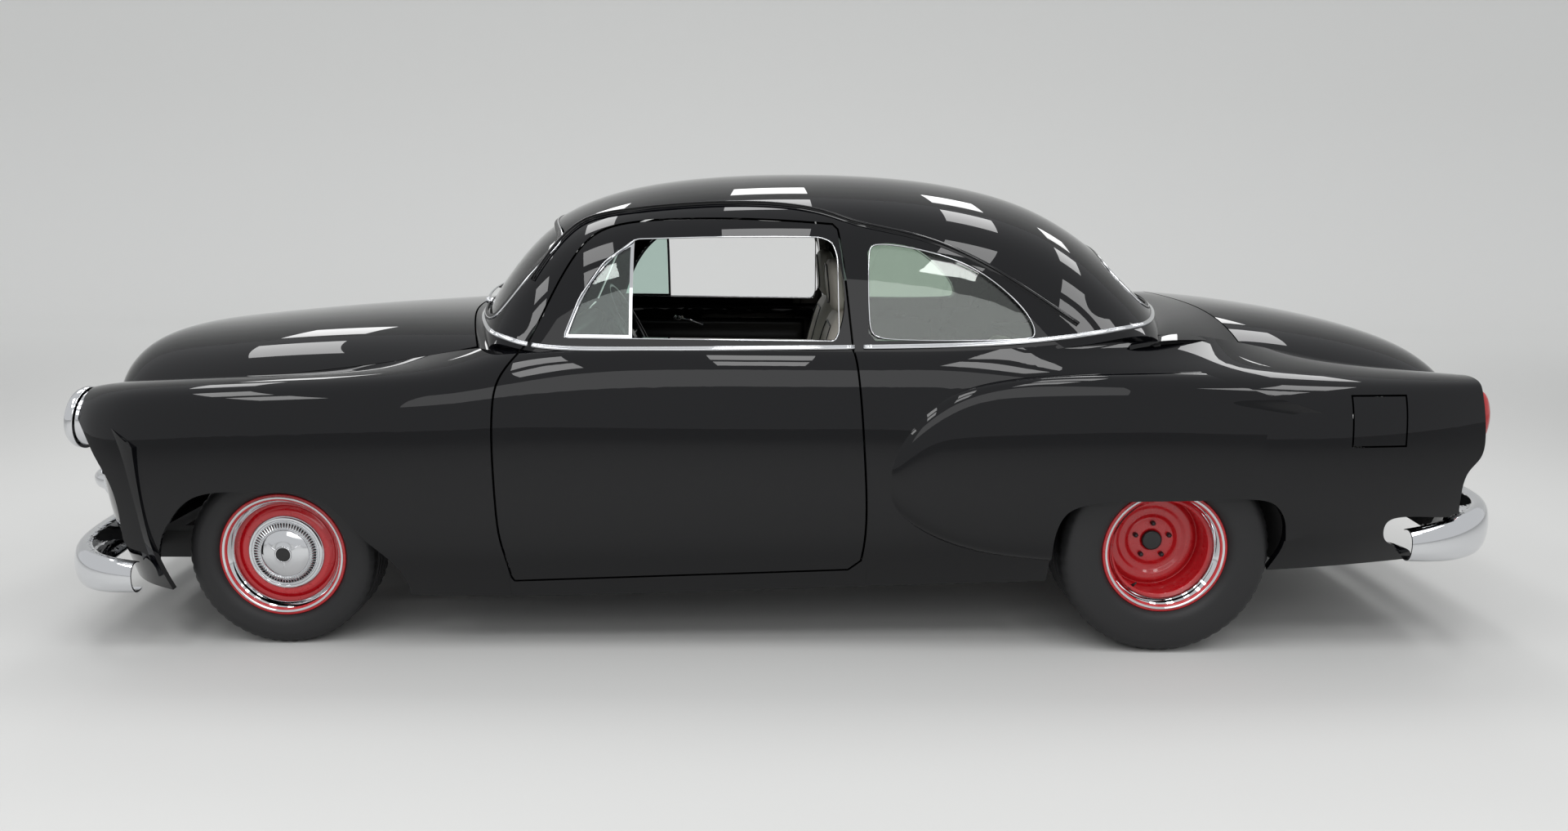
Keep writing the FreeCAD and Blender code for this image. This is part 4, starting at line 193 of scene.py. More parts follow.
FRONT_BUMPER_SHARES = (
    (-0.560, 0.958, 0.70, 0.160), (-0.700, 0.955, 0.80, 0.163), (-0.830, 0.900, 0.94, 0.168),
    (-0.925, 0.760, 1.00, 0.171), (-0.972, 0.520, 1.00, 0.172), (-0.9985, 0.260, 1.00, 0.172),
    (-1.0055, 0, 1.00, 0.172),
)
REAR_BUMPER_SHARES = (
    (1.645, 0.950, 0.62, 0.238), (1.740, 0.950, 0.78, 0.242), (1.860, 0.905, 0.97, 0.258),
    (1.945, 0.760, 1.00, 0.262), (1.985, 0.520, 0.97, 0.260), (2.000, 0.260, 0.94, 0.258),
    (2.003, 0, 0.94, 0.258),
)
BUMPER_SECTION_SHARES = (
    (1.00, 0.80), (0.60, 1.00), (0.12, 0.72), (0, 0), (0.12, -0.72), (0.60, -1.00), (1.00, -0.80),
)
WINDSHIELD_SHARES = ((0, 0.702), (0.20, 0.701), (0.40, 0.698), (0.60, 0.691), (0.70, 0.687), (0.745, 0.695),
                     (0.748, 0.735), (0.735, 0.780), (0.712, 0.825), (0.685, 0.853), (0.62, 0.872),
                     (0.50, 0.885), (0.35, 0.893), (0.17, 0.899), (0, 0.900))
REAR_WINDOW_SHARES = ((0, 0.722), (0.18, 0.721), (0.35, 0.718), (0.48, 0.714), (0.56, 0.713), (0.598, 0.725),
                      (0.590, 0.755), (0.560, 0.788), (0.50, 0.812), (0.40, 0.829), (0.20, 0.843), (0, 0.847))
QUARTER_WINDOW_SHARES = (
    ((0.6600, 0.674), (0.6594, 0.836)),
    ((0.6635, 0.849), (0.6744, 0.853), (0.7107, 0.846), (0.7655, 0.819), (0.8028, 0.777),
     (0.8316, 0.727), (0.8432, 0.694), (0.8449, 0.671)),
    ((0.8388, 0.661), (0.6676, 0.659)),
)
DOOR_WINDOW_SHARES = (
    ((0.3252, 0.661), (0.3423, 0.741), (0.3680, 0.811), (0.4005, 0.855)),
    ((0.4057, 0.858), (0.4793, 0.863), (0.5573, 0.865), (0.6066, 0.865)),
    ((0.6203, 0.855), (0.6258, 0.826), (0.6275, 0.675), (0.6231, 0.658)),
)
DOOR_SHARES = (
    ((0.2879, 0.648), (0.2705, 0.613), (0.2581, 0.575), (0.2533, 0.525), (0.2523, 0.425),
     (0.2540, 0.324), (0.2571, 0.255), (0.2609, 0.220), (0.2660, 0.167)),
    ((0.2687, 0.159), (0.6436, 0.186)),
    ((0.6559, 0.207), (0.6583, 0.292), (0.6549, 0.429), (0.6498, 0.596), (0.6457, 0.718), (0.6412, 0.880)),
    ((0.6368, 0.889), (0.5573, 0.897), (0.4673, 0.897), (0.4047, 0.889), (0.3595, 0.863),
     (0.3317, 0.804), (0.3129, 0.741), (0.2951, 0.674)),
)
BULGE_OUTLINE_SHARES = (
    (1.060, 0.602), (0.930, 0.602), (0.838, 0.597), (0.775, 0.579), (0.740, 0.553), (0.715, 0.514),
    (0.693, 0.466), (0.681, 0.414), (0.679, 0.363), (0.684, 0.317), (0.718, 0.268), (0.764, 0.232),
    (0.820, 0.211), (0.905, 0.200), (1.010, 0.190),
)
BULGE_END_SHARES = (1.42, 0.400)
BULGE_RISE_SHARES = (
    (0, -0.012), (0.012, 0.006), (0.035, 0.0215), (0.10, 0.0265), (0.25, 0.0275), (0.45, 0.0235),
    (0.65, 0.0130), (0.85, 0.0005), (1, -0.008),
)
FRONT_PANEL_LOW_SHARES = ((0.965, 0.420), (0.915, 0.330), (0.850, 0.244), (0.714, 0.131), (0.525, 0.048),
                          (0.262, 0.010), (0, 0))
FRONT_PANEL_FOOT_SHARES = ((0.925, 0.420), (0.885, 0.330), (0.830, 0.244), (0.714, 0.131), (0.525, 0.048),
                           (0.262, 0.010), (0, 0))
TAIL_PANEL_FOOT_SHARES = ((0.846, 0.122), (0.824, 0.092), (0.720, 0.050), (0.525, 0.020), (0.262, 0.005),
                          (0, 0))

BLACK_NODES = (
    "roof", "front_fender_left", "front_fender_right", "door_left", "door_right", "fuel_flap", "quarter_left",
    "quarter_right", "hood", "trunk_lid", "cowl", "deck", "front_panel", "tail_panel", "sills",
)


def station(share):
    """X of station shares: FRONT_AXLE_X less the share of the overhang or wheelbase that it lies in."""
    share = np.asarray(share, float)
    middle = FRONT_AXLE_X - np.clip(share, 0, 1) * WHEELBASE
    return middle - np.minimum(share, 0) * FRONT_OVERHANG - np.maximum(share - 1, 0) * REAR_OVERHANG


def place(shares):
    """Points in metres from rows of station, width and height shares."""
    shares = np.asarray(shares, float)
    return np.stack([station(shares[..., 0]), shares[..., 1] * HALF_WIDTH, shares[..., 2] * ROOF_HEIGHT], -1)


def basis(count, at, degree=3):
    """Clamped uniform B-spline functions at the parameters, and their slopes, by Cox and de Boor's
    recurrence: N(i,k) = (t - t_i) / (t_i+k - t_i) N(i,k-1) + (t_i+k+1 - t) / (t_i+k+1 - t_i+1) N(i+1,k-1)."""
    knots = np.concatenate([np.zeros(degree), np.linspace(0, 1, count - degree + 1), np.ones(degree)])
    at = np.clip(np.asarray(at, float), 0, 1 - 1e-9)[:, None]
    table = ((knots[:-1] <= at) & (at < knots[1:])).astype(float)
    lower = table
    for order in range(1, degree + 1):
        lower = table
        left = knots[order:-1] - knots[:-order - 1]
        right = knots[order + 1:] - knots[1:-order]
        left_share = np.where(left > 0, (at - knots[:-order - 1]) / np.where(left > 0, left, 1), 0)
        right_share = np.where(right > 0, (knots[order + 1:] - at) / np.where(right > 0, right, 1), 0)
        table = left_share * lower[:, :-1] + right_share * lower[:, 1:]
    left_scale = np.where(left > 0, degree / np.where(left > 0, left, 1), 0)
    right_scale = np.where(right > 0, degree / np.where(right > 0, right, 1), 0)
    return table, left_scale * lower[:, :-1] - right_scale * lower[:, 1:]


def spline(points, count):
    """A smooth line of count points with the given ones as control points: P(t) = sum N(i) P(i)."""
    points = np.asarray(points, float)
    return basis(len(points), np.linspace(0, 1, count))[0] @ points


class Skin:
    """A B-spline surface on a net of control points: S(u, v) = sum N(i, u) N(j, v) P(i, j)."""

    SAMPLES = (70, 40)
    STEPS = 8

    def __init__(self, net, outside):
        self.net = np.asarray(net, float)
        self.outside = np.asarray(outside, float)
        grid = np.meshgrid(np.linspace(0, 1, self.SAMPLES[0]), np.linspace(0, 1, self.SAMPLES[1]),
                           indexing="ij")
        self.start = np.stack([part.ravel() for part in grid], -1)
        self.coarse = self.at(self.start[:, 0], self.start[:, 1])[0]

    def at(self, u, v):
        """Points and both slopes at paired parameters."""
        rows, row_slopes = basis(self.net.shape[0], u)
        columns, column_slopes = basis(self.net.shape[1], v)
        return (
            np.einsum("pi,pj,ijk->pk", rows, columns, self.net),
            np.einsum("pi,pj,ijk->pk", row_slopes, columns, self.net),
            np.einsum("pi,pj,ijk->pk", rows, column_slopes, self.net),
        )

    def normal(self, point, along, across):
        """The outward unit normal: along x across, turned away from the side that holds the middle."""
        normal = np.cross(along, across)
        normal /= np.maximum(np.linalg.norm(normal, axis=1, keepdims=True), 1e-12)
        return normal * self.sign(normal, point)[:, None]

    def sign(self, normal, point):
        """1 where the normal leads away from the inside point, else -1."""
        inside = np.stack([point[:, 0] * self.outside[0], np.zeros(len(point)),
                           np.full(len(point), self.outside[1])], -1)
        return np.where(((point - inside) * normal).sum(1) > 0, 1.0, -1.0)

    def nearest(self, points):
        """Parameters, surface points, normals and distances of the nearest places, by Gauss-Newton steps."""
        best = np.concatenate([
            ((chunk[:, None] - self.coarse[None]) ** 2).sum(-1).argmin(1)
            for chunk in np.array_split(points, max(len(points) // 2000, 1))])
        uv = self.start[best].copy()
        for _ in range(self.STEPS):
            point, along, across = self.at(uv[:, 0], uv[:, 1])
            gap = points - point
            a = (along * along).sum(1)
            b = (along * across).sum(1)
            c = (across * across).sum(1)
            d = (gap * along).sum(1)
            e = (gap * across).sum(1)
            det = np.maximum(a * c - b * b, 1e-12)
            step = np.stack([(c * d - b * e) / det, (a * e - b * d) / det], -1)
            uv = np.clip(uv + np.clip(step, -0.1, 0.1), 0, 1)
        point, along, across = self.at(uv[:, 0], uv[:, 1])
        return uv, point, self.normal(point, along, across), np.linalg.norm(points - point, axis=1)


def both_halves(half):
    """A net whose last column is the middle, continued to the other side: P(i, 2m - j) = mirror P(i, j)."""
    half = np.asarray(half, float)
    return np.concatenate([half, half[:, -2::-1] * (1, -1, 1)], 1)


def side_net():
    """The left side's net from its rows of shares."""
    rows = []
    for along, widest, bottom, *upper in SIDE_SHARES:
        low = [(along, widest - inset, bottom + rise * (upper[1] - bottom))
               for inset, rise in SIDE_RISE_SHARES]
        rows.append(low + [(along, *pair) for pair in zip(upper[::2], upper[1::2])])
    return place(rows)


def lid_net(rows, gap):
    """A lid's net: x = seam + (middle - seam)(1 - w^2) and z = seam + (middle - seam) rise over its
    width w."""
    half = []
    for (middle_along, middle_up), seam_shares in rows:
        middle = place((middle_along, 0, middle_up))
        seam = place(seam_shares) - (0, gap, 0)
        width, rise = np.array(CROWN_SHARES).T
        half.append(np.stack([
            seam[0] + (middle[0] - seam[0]) * (1 - width ** 2),
            seam[1] * width,
            seam[2] + (middle[2] - seam[2]) * rise], -1))
    return both_halves(half)


def sheet_net(middles, plans, tops, sense):
    """The front or tail panel's net from its middle line, each row's plan and its top edge."""
    rows = []
    for index, ((along, up), plan) in enumerate(zip(middles, plans)):
        heights = tops if index == 0 else [up] * len(plan)
        rows.append([(along + sense * drop, width, height) for (width, drop), height in zip(plan, heights)])
    return both_halves(place(rows))


def side_points(x, z):
    """The body side's points at those lengths and heights, by Newton's steps in x and z from its middle."""
    uv = np.full((len(x), 2), 0.5)
    for _ in range(NEWTON_STEPS):
        point, along, across = side.at(uv[:, 0], uv[:, 1])
        area = along[:, 0] * across[:, 2] - along[:, 2] * across[:, 0]
        miss_x = x - point[:, 0]
        miss_z = z - point[:, 2]
        uv = np.clip(uv + np.stack([
            (miss_x * across[:, 2] - miss_z * across[:, 0]) / area,
            (miss_z * along[:, 0] - miss_x * along[:, 2]) / area], -1), 0, 1)
    return side.at(uv[:, 0], uv[:, 1])[0]


def bulge_net():
    """The rear fender's bulge: each line runs from the outline towards the end, x = x0 + (x1 - x0) s and
    z = z0 + (z1 + (z0 - z1) spread - z0) s, on the body side and raised by rise(s)."""
    outline = place([(along, 0, up) for along, up in BULGE_OUTLINE_SHARES])
    end = place((BULGE_END_SHARES[0], 0, BULGE_END_SHARES[1]))
    share, rise = np.array(BULGE_RISE_SHARES).T
    target = end[2] + (outline[:, 2] - end[2]) * BULGE_END_SPREAD_SHARE
    x = outline[:, :1] + (end[0] - outline[:, :1]) * share
    z = outline[:, 2:] + (target[:, None] - outline[:, 2:]) * share
    points = side_points(x.ravel(), z.ravel()).reshape(len(outline), len(share), 3)
    points[..., 1] += rise * HALF_WIDTH
    return points


def bumper_net(rows, height):
    """A bumper's net: the section's shares laid along the plan curve's normals."""
    rows = list(rows) + list(reversed(rows[:-1]))
    count = len(rows)
    line = np.array([(station(along), width * HALF_WIDTH) for along, width, _, _ in rows])
    line[count // 2 + 1:, 1] *= -1
    ahead = line[np.minimum(np.arange(count) + 1, count - 1)]
    back = line[np.maximum(np.arange(count) - 1, 0)]
    normal = np.stack([ahead[:, 1] - back[:, 1], back[:, 0] - ahead[:, 0]], -1)
    normal /= np.linalg.norm(normal, axis=1, keepdims=True)
    normal *= -np.sign((normal * line).sum(1))[:, None]
    net = []
    for index, (_, _, tall, up) in enumerate(rows):
        for inwards, rise in BUMPER_SECTION_SHARES:
            flat = line[index] + normal[index] * inwards * BUMPER_DEPTH
            net.append((flat[0], flat[1], up * ROOF_HEIGHT + rise * tall * height / 2))
    return np.array(net).reshape(count, len(BUMPER_SECTION_SHARES), 3)


side = Skin(side_net(), (1, FLOOR_Z))
greenhouse = Skin(both_halves(place(GREENHOUSE_SHARES)), (0, CABIN_Z))
hood_skin = Skin(lid_net(HOOD_SHARES, PANEL_GAP), (0.875, FLOOR_Z))
trunk_skin = Skin(lid_net(TRUNK_SHARES, PANEL_GAP), (0.875, FLOOR_Z))
cowl_net = both_halves(place(COWL_SHARES))
deck_net = both_halves(place(DECK_SHARES))
hood_edge = lid_net(HOOD_SHARES[-1:], 0) - (PANEL_GAP, 0, 0)
trunk_edge = lid_net(TRUNK_SHARES[:1], 0) + (PANEL_GAP, 0, 0)
cowl_skin = Skin(np.concatenate([hood_edge, cowl_net]), (0.875, FLOOR_Z))
deck_skin = Skin(np.concatenate([deck_net, trunk_edge]), (0.875, FLOOR_Z))
front_plans = (FRONT_PANEL_PLAN_SHARES,) * 3 + (FRONT_PANEL_LOW_SHARES, FRONT_PANEL_FOOT_SHARES)
tail_plans = (TAIL_PANEL_PLAN_SHARES,) * 4 + (TAIL_PANEL_FOOT_SHARES,) * 2
front_skin = Skin(sheet_net(FRONT_PANEL_MIDDLE_SHARES, front_plans, FRONT_PANEL_TOP_SHARES, 1), (0.5, 0.5))
tail_skin = Skin(sheet_net(TAIL_PANEL_MIDDLE_SHARES, tail_plans, TAIL_PANEL_TOP_SHARES, -1), (0.5, 0.5))
bulge = Skin(bulge_net(), (1, FLOOR_Z))
front_bumper_skin = Skin(bumper_net(FRONT_BUMPER_SHARES, FRONT_BUMPER_HEIGHT), (0.8, 0.26))
rear_bumper_skin = Skin(bumper_net(REAR_BUMPER_SHARES, REAR_BUMPER_HEIGHT), (0.8, 0.4))

SKINS = {
    "roof": [greenhouse], "front_fender": [side], "door": [side, greenhouse], "fuel_flap": [side],
    "quarter": [side, bulge], "hood": [hood_skin], "trunk_lid": [trunk_skin], "cowl": [cowl_skin],
    "deck": [deck_skin], "front_panel": [front_skin], "tail_panel": [tail_skin], "sills": [side],
    "front_bumper": [front_bumper_skin], "rear_bumper": [rear_bumper_skin],
}


def unit(vectors):
    """The vectors at length 1."""
    return vectors / np.maximum(np.linalg.norm(vectors, axis=-1, keepdims=True), 1e-12)


def directions(path, closed=False):
    """Unit vectors along a path, each from its point's neighbours."""
    ahead = np.roll(path, -1, 0) - np.roll(path, 1, 0)
    if not closed:
        ahead[0] = path[1] - path[0]
        ahead[-1] = path[-1] - path[-2]
    return unit(ahead)


def mesh_values(items, name, width=3, kind=float):
    """One value of all the items of a mesh, as an array."""
    values = np.empty(len(items) * width, kind)
    items.foreach_get(name, values)
    return values.reshape(-1, width)


def smooth(mesh):
    """Every face of the mesh is shaded smooth."""
    mesh.polygons.foreach_set("use_smooth", np.ones(len(mesh.polygons), bool))


def linked(name, data):
    """A new object for that data, in the scene."""
    thing = bpy.data.objects.new(name, data)
    bpy.context.scene.collection.objects.link(thing)
    return thing


def smooth_mesh(name, points, faces, material):
    """A smooth mesh from numpy points, faces and a material."""
    mesh = bpy.data.meshes.new(name)
    faces = faces if isinstance(faces, list) else faces.tolist()
    mesh.from_pydata(points.reshape(-1, 3).tolist(), [], faces)
    mesh.update()
    smooth(mesh)
    mesh.materials.append(material)
    return mesh


def mesh_piece(name, points, faces, look, body):
    """A named piece from numpy points and faces, with its look, that rides on a body."""
    piece = linked(name, smooth_mesh(name, points, faces, MATERIALS[look]))
    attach(piece, body)
    return piece


def grid_faces(rows, columns, close_rows=False, close_columns=False, flip=False):
    """Quads of a grid of points, numbered row by row, closed where asked."""
    row = np.arange(rows if close_rows else rows - 1)[:, None]
    column = np.arange(columns if close_columns else columns - 1)[None]
    next_row = (row + 1) % rows
    next_column = (column + 1) % columns
    quads = np.stack(np.broadcast_arrays(
        row * columns + column, next_row * columns + column,
        next_row * columns + next_column, row * columns + next_column), -1).reshape(-1, 4)
    return quads[:, ::-1] if flip else quads


def ring_faces(count, around, closed=False):
    """The faces over a row of rings; an open row has its end rings capped."""
    faces = grid_faces(count, around, closed, True, True).tolist()
    if not closed:
        faces.append(list(range(around)))
        faces.append(list(range((count - 1) * around, count * around))[::-1])
    return faces


def body_of_node(node):
    """The body that a CAD node belongs to."""
    return frame["nodes"][node]["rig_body"]


def skinned_copy(node, skins, look, longest):
    """A merged copy of a CAD node that stands for it: its long edges are split, and where it follows a skin
    its points lie on that surface and its corners take the surface's own normals, a whole face from one
    skin."""
    work = bmesh.new()
    work.from_mesh(frame["nodes"][node].data)
    bmesh.ops.remove_doubles(work, verts=work.verts, dist=MERGE_DISTANCE)
    for _ in range(SPLIT_ROUNDS):
        long_edges = [edge for edge in work.edges if edge.calc_length() > longest]
        if not long_edges:
            break
        bmesh.ops.subdivide_edges(work, edges=long_edges, cuts=1)
        bmesh.ops.triangulate(work, faces=work.faces)
    mesh = bpy.data.meshes.new(node + "_skin")
    work.to_mesh(mesh)
    work.free()
    points = mesh_values(mesh.vertices, "co")
    turn = np.where(points[:, 1] < 0, -1, 1)[:, None] ** np.array([0, 1, 0])
    found = []
    for skin in skins:
        flip = turn if skin in (side, bulge) else 1
        _, place_on, normal, gap = skin.nearest(points * flip)
        found.append((place_on * flip, normal * flip, gap))
    places, normals, gaps = (np.stack(part) for part in zip(*found))
    nearest = places[gaps.argmin(0), np.arange(len(points))]
    target = np.where((gaps.min(0) < ON_SKIN)[:, None], nearest, points)
    mesh.vertices.foreach_set("co", target.ravel())
    mesh.update()
    corners = mesh_values(mesh.loops, "vertex_index", 1, int)[:, 0]
    face_normals = np.repeat(mesh_values(mesh.polygons, "normal"), 3, 0)
    face_gaps = gaps[:, corners].reshape(len(skins), -1, 3).max(2)
    corner_normals = normals[face_gaps.argmin(0).repeat(3), corners]
    same = ((corner_normals * face_normals).sum(1) > SAME_WAY).reshape(-1, 3).all(1)
    on_skin = (same & (face_gaps.min(0) < ON_SKIN)).repeat(3)
    smooth(mesh)
    mesh.normals_split_custom_set(np.where(on_skin[:, None], corner_normals, face_normals).tolist())
    mesh.materials.append(MATERIALS[look])
    piece = linked(node + "_skin", mesh)
    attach(piece, body_of_node(node))
    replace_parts(piece, node)
    return piece


# Materials

class Value:
    """A shader output that takes plain arithmetic: each operator adds one Math node."""

    def __init__(self, graph, socket):
        self.graph = graph
        self.socket = socket

    def _math(self, operation, first, second):
        return self.graph.add("ShaderNodeMath", {"operation": operation}, {0: first, 1: second})["Value"]

    def __add__(self, other):
        return self._math("ADD", self, other)

    def __radd__(self, other):
        return self._math("ADD", other, self)

    def __mul__(self, other):
        return self._math("MULTIPLY", self, other)

    def __rmul__(self, other):
        return self._math("MULTIPLY", other, self)


class Outputs:
    """A node's outputs by name, as values."""

    def __init__(self, graph, node):
        self.graph = graph
        self.node = node

    def __getitem__(self, name):
        return Value(self.graph, self.node.outputs[name])


class Graph:
    """A material and its nodes."""

    def __init__(self, name):
        self.material = bpy.data.materials.new(name)
        self.material.use_nodes = True
        self.tree = self.material.node_tree
        self.tree.nodes.clear()

    def add(self, kind, settings=None, inputs=None):
        """A node of that kind: settings first, then each input's number or link."""
        node = self.tree.nodes.new(kind)
        for name, setting in (settings or {}).items():
            setattr(node, name, setting)
        for name, value in (inputs or {}).items():
            if isinstance(value, Value):
                self.tree.links.new(value.socket, node.inputs[name])
            else:
                node.inputs[name].default_value = value
        return Outputs(self, node)

    def finish(self, surface):
        """The surface goes to the output."""
        self.add("ShaderNodeOutputMaterial", None, {"Surface": surface})
        return self.material

    def coordinates(self, scale=1.0):
        """Object coordinates, scaled."""
        start = self.add("ShaderNodeTexCoord")["Object"]
        return self.add("ShaderNodeMapping", None,
                        {"Vector": start, "Scale": (scale, scale, scale)})["Vector"]

    def noise(self, scale, detail=3.0):
        """Even noise on Object coordinates, from 0 to 1."""
        return self.add("ShaderNodeTexNoise", None, {
            "Vector": self.coordinates(), "Scale": scale, "Detail": detail})["Fac"]

    def bump(self, height, distance, strength=1.0):
        """A normal from a height."""
        return self.add("ShaderNodeBump", None, {
            "Height": height, "Distance": distance, "Strength": strength})["Normal"]

    def principled(self, **inputs):
        """A Principled surface; underscores in the names stand for spaces."""
        named = {name.replace("_", " "): value for name, value in inputs.items()}
        return self.add("ShaderNodeBsdfPrincipled", None, named)["BSDF"]


def gloss_black():
    """Deep black enamel under clear lacquer."""
    graph = Graph("black_paint")
    haze = graph.noise(14.0, 5.0)
    return graph.finish(graph.principled(
        Base_Color=(0.0024, 0.0025, 0.0034, 1), Roughness=haze * 0.12 + 0.30, Specular_IOR_Level=0.0,
        Coat_Weight=1.0, Coat_Roughness=0.008, Coat_IOR=1.42))


def chrome(name, roughness):
    """Bright plating, a little hazy in patches."""
    graph = Graph(name)
    return graph.finish(graph.principled(
        Base_Color=(0.73, 0.74, 0.76, 1), Metallic=1.0,
        Roughness=graph.noise(6.0) * 0.03 + (roughness - 0.01)))


def red_enamel():
    """Red wheel enamel with a faint ripple."""
    graph = Graph("red_steel")
    ripple = graph.noise(24.0)
    return graph.finish(graph.principled(
        Base_Color=(0.52, 0.006, 0.012, 1), Roughness=ripple * 0.10 + 0.23, Coat_Weight=0.7,
        Coat_Roughness=0.05, Normal=graph.bump(ripple, 0.0006, 0.3)))


def rubber():
    """Tyre rubber, a little dusty in patches."""
    graph = Graph("tyre_rubber")
    grain = graph.noise(900.0, 2.0)
    patches = graph.noise(7.0)
    return graph.finish(graph.principled(
        Base_Color=(0.011, 0.011, 0.012, 1), Roughness=patches * 0.18 + 0.48,
        Normal=graph.bump(grain, 0.0004, 0.35)))


def glass(name, tint, gloss_low, band=None):
    """A clear pane: it lets the tinted background through and mirrors more towards its edge. A band gives
    the heights between which a second tint sets in, and that tint."""
    graph = Graph(name)
    clear = graph.add("ShaderNodeBsdfTransparent", None, {"Color": tint})["BSDF"]
    if band is not None:
        height = graph.add("ShaderNodeSeparateXYZ", None, {"Vector": graph.coordinates()})["Z"]
        shade = graph.add("ShaderNodeMapRange", {"interpolation_type": "SMOOTHSTEP"}, {
            "Value": height, "From Min": band[0], "From Max": band[1]})["Result"]
        deep = graph.add("ShaderNodeBsdfTransparent", None, {"Color": band[2]})["BSDF"]
        clear = graph.add("ShaderNodeMixShader", None, {"Fac": shade, 1: clear, 2: deep})["Shader"]
    mirror = graph.add("ShaderNodeBsdfGlossy", None, {"Color": (1, 1, 1, 1), "Roughness": 0.01})["BSDF"]
    edge = graph.add("ShaderNodeFresnel", None, {"IOR": 1.45})["Fac"]
    return graph.finish(graph.add("ShaderNodeMixShader", None, {
        "Fac": edge + gloss_low, 1: clear, 2: mirror})["Shader"])


def satin(name, colour, roughness, metallic=0.0, grain=0.0, scale=60.0):
    """A plain finish, worn in patches, with a fine grain where asked."""
    graph = Graph(name)
    worn = graph.noise(9.0) * 0.12 + (roughness - 0.06)
    inputs = {"Base_Color": colour, "Roughness": worn, "Metallic": metallic}
    if grain:
        inputs["Normal"] = graph.bump(graph.noise(scale, 4.0), grain, 0.5)
    return graph.finish(graph.principled(**inputs))


def leather():
    """Tan-grey leather with a fine grain and slight wear."""
    graph = Graph("seat_leather")
    cells = graph.add("ShaderNodeTexVoronoi", {"feature": "DISTANCE_TO_EDGE"}, {
        "Vector": graph.coordinates(), "Scale": 420.0})["Distance"]
    wear = graph.noise(9.0)
    return graph.finish(graph.principled(
        Base_Color=(0.62, 0.575, 0.51, 1), Roughness=wear * 0.2 + 0.42,
        Normal=graph.bump(cells, 0.0006, 0.5)))


def lamp_glass(name, colour, alpha):
    """A lamp's lens, with a faint pebble inside."""
    graph = Graph(name)
    pebble = graph.add("ShaderNodeTexVoronoi", {"feature": "SMOOTH_F1"}, {
        "Vector": graph.coordinates(), "Scale": 160.0})["Distance"]
    return graph.finish(graph.principled(
        Base_Color=colour, Roughness=pebble * 0.10 + 0.04, Alpha=alpha, Coat_Weight=1.0, Coat_Roughness=0.02,
        Normal=graph.bump(pebble, 0.0008, 0.4)))


SOOT = (0.012, 0.012, 0.013, 1)
MATERIALS = {
    "black": gloss_black(),
    "chrome": chrome("chrome", 0.035),
    "cap": chrome("hub_cap_chrome", 0.09),
    "red": red_enamel(),
    "rubber": rubber(),
    "windshield": glass("windshield_glass", (0.72, 0.80, 0.73, 1), 0.03,
                        (1.225, 1.345, (0.045, 0.085, 0.20, 1))),
    "glass": glass("window_glass", (0.80, 0.86, 0.81, 1), 0.03),
    "vent_glass": glass("vent_glass", (0.80, 0.90, 0.86, 1), 0.02),
    "underbody": satin("underbody_black", SOOT, 0.55, grain=0.001),
    "axle": satin("axle_black", (0.018, 0.018, 0.02, 1), 0.38),
    "exhaust": satin("exhaust_steel", (0.42, 0.41, 0.40, 1), 0.32, 1.0, 0.0008, 40.0),
    "iron": satin("engine_iron", (0.10, 0.10, 0.105, 1), 0.5, 0.4, 0.001, 70.0),
    "carpet": satin("floor_carpet", (0.014, 0.014, 0.015, 1), 0.95, grain=0.002, scale=300.0),
    "dash": satin("dash_black", SOOT, 0.3),
    "plastic": satin("steering_black", SOOT, 0.22),
    "leather": leather(),
    "piping": satin("piping_black", (0.010, 0.010, 0.010, 1), 0.45),
    "vinyl": satin("trim_vinyl", (0.0075, 0.0075, 0.0085, 1), 0.36, grain=0.0006, scale=520.0),
    "gasket": satin("window_rubber", (0.009, 0.009, 0.009, 1), 0.42, grain=0.0003, scale=300.0),
    "dial": satin("dial_face", (0.02, 0.02, 0.022, 1), 0.25),
    "lens": lamp_glass("headlamp_lens", (0.82, 0.85, 0.86, 1), 0.55),
    "red_lens": lamp_glass("tail_lens", (0.42, 0.004, 0.006, 1), 1.0),
}
NODE_MATERIALS = {
    "windshield": ("windshield",),
    "glass": ("rear_window", "quarter_glass"),
    "vent_glass": ("vent_glass_left", "vent_glass_right"),
    "chrome": ("vent_frame_left", "vent_frame_right", "grille", "headlamps"),
    "underbody": ("frame", "fuel_tank"),
    "axle": ("knuckle_left", "knuckle_right", "front_suspension", "rear_axle", "rear_suspension",
             "drive_line"),
    "exhaust": ("exhaust",),
    "iron": ("engine",),
    "carpet": ("floor_pan",),
    "dash": ("dashboard", "rear_shelf"),
    "plastic": ("steering_wheel",),
    "red_lens": ("tail_lamps",),
    "leather": ("front_seats", "rear_seat"),
    "rubber": ("front_tyre_left", "front_tyre_right", "rear_tyre_left", "rear_tyre_right"),
    "red": ("front_wheel_left", "front_wheel_right", "rear_wheel_left", "rear_wheel_right"),
    "cap": ("hub_cap_left", "hub_cap_right"),
    "black": BLACK_NODES,
}


def arcs(start, corners, end, steps):
    """A short arc round each corner C from A to B: (1 - t)^2 A + 2t(1 - t) C + t^2 B."""
    t = np.linspace(0, 1, steps)[None, :, None]
    return (1 - t) ** 2 * start[:, None] + 2 * t * (1 - t) * corners[:, None] + t ** 2 * end[:, None]


def eased(corners, reach, steps=4):
    """A line of corners, each rounded by an arc that starts and ends reach away from it."""
    corners = np.asarray(corners, float)
    ahead = np.diff(corners, axis=0)
    length = np.linalg.norm(ahead, axis=1, keepdims=True)
    cut = ahead / length * np.minimum(reach, LONGEST_CUT * length)
    middle = corners[1:-1]
    rounded = arcs(middle - cut[:-1], middle, middle + cut[1:], steps)
    return np.concatenate([corners[:1], rounded.reshape(-1, 2), corners[-1:]])


